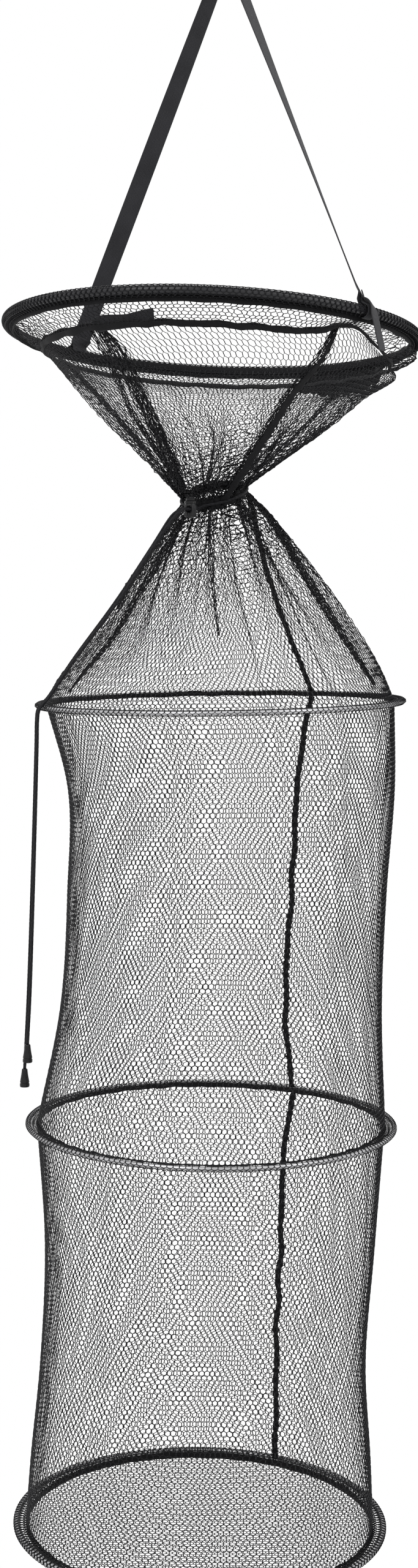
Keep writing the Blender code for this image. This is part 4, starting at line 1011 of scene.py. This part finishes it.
def add_bundle(name, surface, way, wide, cells, seed, link, node):
    """A bunched fold of netting down a surface: a flattened and creased tube of the same netting."""
    shares, degrees = zip(*way)

    def creased(turn, share):
        turn, share = np.broadcast_arrays(turn, share)
        s = shares[0] + (shares[-1] - shares[0]) * share
        b = np.radians(smooth_between(shares, degrees, s))
        across, _, out = surface_ways(surface, b, s, 0.02, 0.01)
        crease = 1 + 0.3 * np.sin(5 * turn + 9 * share + seed) + 0.22 * np.sin(9 * turn - 17 * share)
        half = np.interp(share, BUNDLE_HALF_AT, wide) / 1000 * crease
        return (surface(b, s) + across * (half * np.cos(turn))[..., None]
                + out * (0.3 * half * np.sin(turn) - 0.0015)[..., None])

    length = arc_length(creased(np.zeros(30), np.linspace(0, 1, 30)))[-1]
    dress_between(lattice(name, creased, cells, round(length / ROW_PITCH), seed, 0.0006), "mesh", link, node)


def add_cone(name, top, bottom, wide, rows, heights, folds, grid, seed, drawn, powers, link, bundles, bundle_seed,
             lift=None, bulge=0.0):
    """A cone of netting and its bunched folds. drawn(share) is 1 at the waist. powers say how fast the strands
    thicken and the netting crumples there. It returns the cone's plain surface."""
    cells, count, length = grid
    pleated = gathered(fold_set(folds), seed + 3, lambda share: drawn(share) ** 1.7)

    def shape(bearing, share):
        out, aside = pleated(bearing, share)
        return out + of(bulge, bearing) * np.clip(1 - share / BULGE_FADE, 0, 1) ** 1.5, aside

    radii = [(s, WAIST_R + (wide - WAIST_R) * w, HOOP_R * d) for s, w, d in rows]
    surface, plain = (net_surface(top, bottom, radii, heights, form, LENS_WEIGHT, lift) for form in (shape, None))
    obj = lattice(f"{name}_netting", surface, cells, count, seed, 0.0012, joint=CONE_JOINT_R, length=length,
                  strand=lambda share: CONE_STRAND_R * (1 + 1.2 * drawn(share) ** powers[0]),
                  crumple=lambda share, _: 0.0004 + 0.0055 * drawn(share) ** powers[1])
    dress_between(obj, "mesh", link, f"{name}_net")
    for k, (label, bundle) in enumerate(bundles.items()):
        add_bundle(f"{name}_fold_{label}", plain, *bundle, bundle_seed + k, link, f"{name}_net")
    return plain


def add_wall(name, number, rows, seed):
    """The netting wall below a hoop, in two halves. It returns its surface and the link of its bend."""
    top, bottom = HOOPS[number], HOOPS[number + 1]
    radii = [(s, WALL_R * w, HOOP_R * d) for s, w, d in rows]
    folds = [(359.0, 357.0, 2.2, 0.0015, 2.2, 1.0, 1.0), (181.0, 181.0, 1.8, 0.0012, 2.0, 1.0, 1.0)]
    surface = net_surface(top, bottom, radii, (-WALL_SEAT, WALL_SEAT),
                          fold_set(folds + even_folds(seed + 3, 9.0, 0.0015, 0.2, 0.8, 0.8)))
    start, end = np.array(top[0]) - UP * WALL_BEND_GAP, np.array(bottom[0]) + UP * WALL_BEND_GAP
    link = (f"hoop_{number}", f"hoop_{number + 1}", start, end)
    length = float(np.linalg.norm(end - start)) + 2 * WALL_BEND_GAP
    for part, span in (("back", (0.0, 0.5)), ("front", (0.5, 1.0))):
        obj = lattice(f"{name}_netting_{part}", surface, 178, round(length / ROW_PITCH), seed, 0.0014, span,
                      length=length, crumple=0.00025)
        dress_between(obj, "mesh", link, f"{name}_net")
    return surface, link


def add_seam(name, surface, way, rows, link, node, seed, half=SEAM_HALF):
    """A narrow stitched tape down the outside of the netting."""
    share = np.linspace(0.004, 0.996, rows)
    rng = np.random.default_rng(seed)
    bearing = np.radians(smooth_between(*zip(*way), share))
    sway = sum(rng.uniform(0.3, 1.0) * np.sin(TAU * rng.uniform(1, 9) * share + rng.uniform(0, TAU)) for _ in range(5))
    bearing = bearing + sway * 0.0007 / 0.18
    spot = surface(bearing, share)
    across, _, _ = surface_ways(surface, bearing, share, 0.003, 0.01)
    out = unit(np.cross(unit(np.gradient(spot, axis=0)), across))
    rough = sum(np.sin(TAU * rng.uniform(20, 70) * share + rng.uniform(0, TAU)) for _ in range(4))
    obj = ribbon(name, spot + out * SEAM_OFF, across, half * (1 + 0.09 * rough), SEAM_THICKNESS,
                 ripple=lambda length, a: 0.0003 * np.sin(length * 320 + seed) * a)
    dress_between(obj, "tape", link, node)


funnel = add_cone("upper_cone", MOUTH, WAIST, HEM_FOOT_R, UPPER_CONE, (HEM_FOOT_DROP + 0.0012, WAIST_HALF - 0.001),
                  even_folds(31, 5.0, 0.003, 0.8, -0.1, 1.0), (176, 36, 0.185), 33, lambda share: share, (4, 2.2),
                  UPPER_LINK, UPPER_BUNDLES, 90, hem_lift, cuff_bulge)
add_seam("upper_cone_seam_tape", funnel, UPPER_SEAM, 120, UPPER_LINK, "upper_cone_net", 2,
         np.interp(np.linspace(0, 1, 120), *UPPER_SEAM_HALF))
cone = add_cone("lower_cone", WAIST, HOOPS[2], WALL_R, LOWER_CONE, (-WAIST_HALF + 0.001, WALL_SEAT),
                even_folds(41, 5.0, 0.003, 0.8, 1.0, -0.1)
                + [(322.0, 312.0, 3.5, 0.004, 1.8, 1.0, 0.3), (290.0, 285.0, 3.0, 0.003, 1.6, 1.0, 0.1)],
                (186, 48, 0.245), 43, lambda share: 1 - share, (5, 2.6), LOWER_LINK, LOWER_BUNDLES, 95)
add_seam("lower_cone_seam_tape", cone, LOWER_SEAM, 160, LOWER_LINK, "lower_cone_seam", 3)
for wall, number, rows, way, seed in (("upper_wall", 2, UPPER_WALL, UPPER_WALL_SEAM, 4),
                                      ("lower_wall", 3, LOWER_WALL, LOWER_WALL_SEAM, 5)):
    surface, link = add_wall(wall, number, rows, 12 + 10 * seed)
    add_seam(f"{wall}_seam_tape", surface, way, 260, link, f"{wall}_seam", seed)


def add_waist_gather():
    """The cord's channel, drawn up into small folds and fuller toward the viewer."""
    bearing = bearings(420)
    pleat = np.abs(np.sin(14 * bearing + 0.8 * np.sin(3 * bearing)))
    line = on_level(WAIST, bearing, WAIST_R - 0.0028 + 0.0012 * pleat, waver(71, 20, 0.0004)(bearing))
    near = np.exp(-((bearing - math.radians(265)) / 0.9) ** 2)
    half = 0.0052 + 0.0016 * near + waver(72, 50, 0.0011)(bearing)
    dress(ribbon("waist_gather", line, up_of(WAIST), half, 0.0013, closed=True), "tape", "waist_channel", body="waist")


def add_base():
    """The flat netting base: honeycomb strands across the lowest hoop, clipped to its round, sagging a little."""
    reach, level, sag = WALL_R - 0.0008, -0.0022, 0.0022
    half_rows, half_cols = int(reach / ROW_PITCH) + 1, int(2 * reach / CELL_WIDE) + 1
    row, col = np.mgrid[-half_rows:half_rows + 1, -half_cols:half_cols + 1]
    low = (col + row) % 2 == 1
    x, y = col * CELL_WIDE / 2, (row + np.where(low, ZIGZAG, -ZIGZAG)) * ROW_PITCH
    spots = stack(x, y, level - sag * (1 - (x * x + y * y) / reach**2))
    inside = np.hypot(x, y) <= reach
    verts = []
    for a, b, used, radius in ((spots[:, :-1], spots[:, 1:], inside[:, :-1] & inside[:, 1:], BASE_STRAND_R),
                               (spots[:-1], spots[1:], inside[:-1] & inside[1:] & low[:-1], JOINT_R)):
        a, b = a[used], b[used]
        way = unit(b - a)
        side = stack(-way[:, 1], way[:, 0], 0)
        ends = [strand_ends(end, side, np.broadcast_to(UP, side.shape), math.pi / 2, radius) for end in (a, b)]
        verts.append(np.concatenate(ends, axis=1).reshape(-1, 3))
    x, y, z = np.concatenate(verts).T
    quads, tris = strand_faces(len(x) // 6, 0)
    obj = mesh_object("base_netting", on_level(HOOPS[4], np.arctan2(y, x), np.hypot(x, y), z),
                      np.concatenate(quads), np.concatenate(tris))
    dress(obj, "mesh", "base_net", body="hoop_4")
    add_ring_tape("base_binding", HOOPS[4], WALL_R - 0.0012, -0.0032, 0.0016, 0.0022, "hoop_4", 83, "base_net",
                  wave=0.0004)


add_waist_gather()
add_base()


# Strap

class Foot:
    """A foot of the strap on the mouth hoop, with the ways from it along the hoop, up the strap and outward."""

    def __init__(self, side):
        bearing = math.radians(STRAP_FOOT[side])
        self.spot = on_level(MOUTH, bearing, MOUTH_HOOP_R * math.cos(math.pi / 36))
        way = unit(HANG_POINT - self.spot)
        self.pivot = self.spot + way * STRAP_PIVOT
        self.along = lean(MOUTH, bearing + math.pi / 2, 1.0)
        self.up = unit(way - self.along * np.dot(way, self.along))
        self.out = unit(np.cross(self.along, self.up))
        lips = lean(MOUTH, bearing, LIP_OUT, LIP_UP)
        self.lips = math.atan2(-np.dot(lips, self.out), np.dot(lips, self.up))

    def at(self, out, up):
        return self.spot + self.out * out + self.up * up

    def round_hoop(self, turns, radius=LOOP_R):
        """Points round the hoop at angles in radians, from 0 above it toward the inside."""
        return [self.at(-radius * math.sin(t), radius * math.cos(t)) for t in turns]


FEET = {side: Foot(side) for side in STRAP_FOOT}


def turn_about(vector, axis, angle):
    return (vector * math.cos(angle) + np.cross(axis, vector) * math.sin(angle)
            + axis * np.dot(axis, vector) * (1 - math.cos(angle)))


def facing(width):
    """The width direction with the sign that the whole strap uses."""
    return width if width[0] + width[1] > 0 else -width


def strap_leg(foot, top_width):
    """Centre line and width directions from the loop's end, round the hoop, up to the free strand."""
    spots = foot.round_hoop(np.linspace(foot.lips + LOOP_CLEAR, TAU - LOOP_NECK, 26))
    spots += [foot.at(STRAP_LAYER, lift) for lift in (LOOP_R + 0.0015, LOOP_R + 0.0065, STRAP_LIFT - 0.003)]
    return spots, [facing(foot.along)] * (len(spots) - 2) + [top_width] * 2


def strap_line():
    """Centre line and width directions of the whole strap, and its width direction above each foot."""
    left, right = FEET["left"], FEET["right"]
    across = unit((right.pivot - left.pivot) * (1.0, 1.0, 0.0))
    width = np.cross(UP, across)
    bend = STRAP_BEND_R + STRAP_THICK / 2

    def bend_angle(foot, side):
        """Where the strand from a foot meets the bend over the hang point, as an angle from across."""
        flat, drop = np.dot(foot.pivot - HANG_POINT, across) * side, HANG_POINT[2] - foot.pivot[2]
        return math.acos(bend / math.hypot(flat, drop)) - math.atan2(drop, flat)

    def on_bend(angle):
        return HANG_POINT + (across * math.cos(angle) + UP * math.sin(angle)) * bend

    def twisted(way, degrees):
        return turn_about(unit(width - way * np.dot(width, way)), way, math.radians(degrees))

    first, last = math.pi - bend_angle(left, -1), bend_angle(right, 1)
    start, stop = on_bend(first), on_bend(last)
    lower = {"left": facing(twisted(unit(start - left.pivot), STRAP_TWIST["left"])),
             "right": facing(twisted(unit(right.pivot - stop), STRAP_TWIST["right"]))}
    spots, widths = strap_leg(left, lower["left"])
    share = np.linspace(0, 1, 40)
    spots += [left.pivot + (start - left.pivot) * s for s in share]
    widths += [twisted(unit(start - left.pivot), STRAP_TWIST["left"] * (1 - s**1.4)) for s in share]
    spots += [on_bend(a) for a in np.linspace(first, last, 21)[1:-1]]
    widths += [width] * 19
    spots += [stop + (right.pivot - stop) * s for s in share]
    widths += [twisted(unit(right.pivot - stop), STRAP_TWIST["right"] * (1 - (1 - s) ** 1.4)) for s in share]
    spots_right, widths_right = strap_leg(right, lower["right"])
    return (*even_with(spots + spots_right[::-1], widths + widths_right[::-1], 0.0016), lower)


def webbing(name, line, widths, half):
    return ribbon(name, line, widths, half, STRAP_THICK, bead=STRAP_SELVEDGE)


def add_strap(line, widths, lower):
    along = arc_length(line)
    half = STRAP_HALF - STRAP_GATHER * np.clip((0.052 - (along[-1] - along)) / 0.014, 0, 1)
    dress_between(webbing("strap_webbing_band", line, widths, half), "webbing", STRAP_LINK,
                  "strap", "strap_end_left", "strap_end_right")
    for side, foot in FEET.items():
        spots = [foot.at(-0.001, STRAP_LIFT - 0.001), foot.at(-0.001, LOOP_R + 0.003)]
        spots += foot.round_hoop(np.linspace(LOOP_NECK, foot.lips - LOOP_CLEAR, 16))
        line, widths = even_with(spots, [lower[side]] + [facing(foot.along)] * (len(spots) - 1), WEBBING_STEP)
        half = STRAP_HALF
        if side == "right":
            half = STRAP_HALF - STRAP_GATHER * np.interp(arc_length(line), (0.007, 0.012), (0.0, 1.0))
        dress(webbing(f"strap_sewn_end_{side}", line, widths, half), "webbing", f"strap_end_{side}", body="mouth")


def add_strap_tail(width):
    """The right end's loose tail: over the hoop beside the strap, then down below the rim."""
    foot = FEET["right"]
    reach, beside = LOOP_R + STRAP_THICK + TAIL_GAP, STRAP_LAYER + STRAP_THICK + TAIL_GAP
    spots = [foot.at(beside, STRAP_LIFT - 0.0015), foot.at(beside, reach + 0.0015)]
    spots += foot.round_hoop(np.radians((-40.0, -65.0, -90.0)), reach)
    spots += [foot.at(reach, 0.0) + TAIL_WAY * drop for drop in (0.01, 0.03, 0.0455)]
    smooth = smooth_line(spots, 0.001)
    turned = np.clip((arc_length(smooth) - 0.016) / 0.012, 0, 1)[:, None]
    line, widths = even_with(smooth, unit(width * (1 - turned) + TAIL_LIE * turned), WEBBING_STEP)
    dress(webbing("strap_tail_webbing", line, widths, STRAP_HALF), "webbing", "strap_tail", body="mouth")


strap, strap_widths, strap_lower = strap_line()
add_strap(strap, strap_widths, strap_lower)
add_strap_tail(strap_lower["right"])


# Light, background and floor

def add_world():
    """White to the camera and in reflections, and a softer white that lights the net."""
    world = bpy.data.worlds.new("studio")
    bpy.context.scene.world = world
    world.use_nodes = True
    tree = world.node_tree
    tree.nodes.clear()
    seen, fill = (add_node(tree, "Background", {"Color": (1.0, 1.0, 1.0, 1.0), "Strength": strength})
                  for strength in (BACKDROP_STRENGTH, FILL_STRENGTH))
    ray = add_node(tree, "LightPath", {}).outputs
    either = math_node(tree, "MAXIMUM", ray["Is Camera Ray"], ray["Is Glossy Ray"])
    either = math_node(tree, "MAXIMUM", either, ray["Is Transmission Ray"])
    mix = add_node(tree, "MixShader", {"Fac": either, 1: fill.outputs[0], 2: seen.outputs[0]})
    add_node(tree, "OutputWorld", {"Surface": mix.outputs["Shader"]})


def add_softbox(name, spot, toward, size, power):
    data = bpy.data.lights.new(name, "AREA")
    data.shape = "RECTANGLE"
    data.size, data.size_y = size
    data.energy = power
    light = show(name, data)
    light.location = spot
    light.rotation_euler = (Vector(toward) - Vector(spot)).to_track_quat("-Z", "Y").to_euler()


def add_floor():
    angle = bearings(96)
    rings = [stack(r * np.cos(angle), r * np.sin(angle), z) for r, z in FLOOR_RINGS]
    obj = skin("studio_floor", np.array(rings) + FLOOR_CENTRE, False)
    obj.data.materials.append(paper_material())


add_world()
for name, softbox in SOFTBOXES.items():
    add_softbox(name, *softbox)
add_floor()

bpy.context.scene.view_settings.view_transform = "Standard"
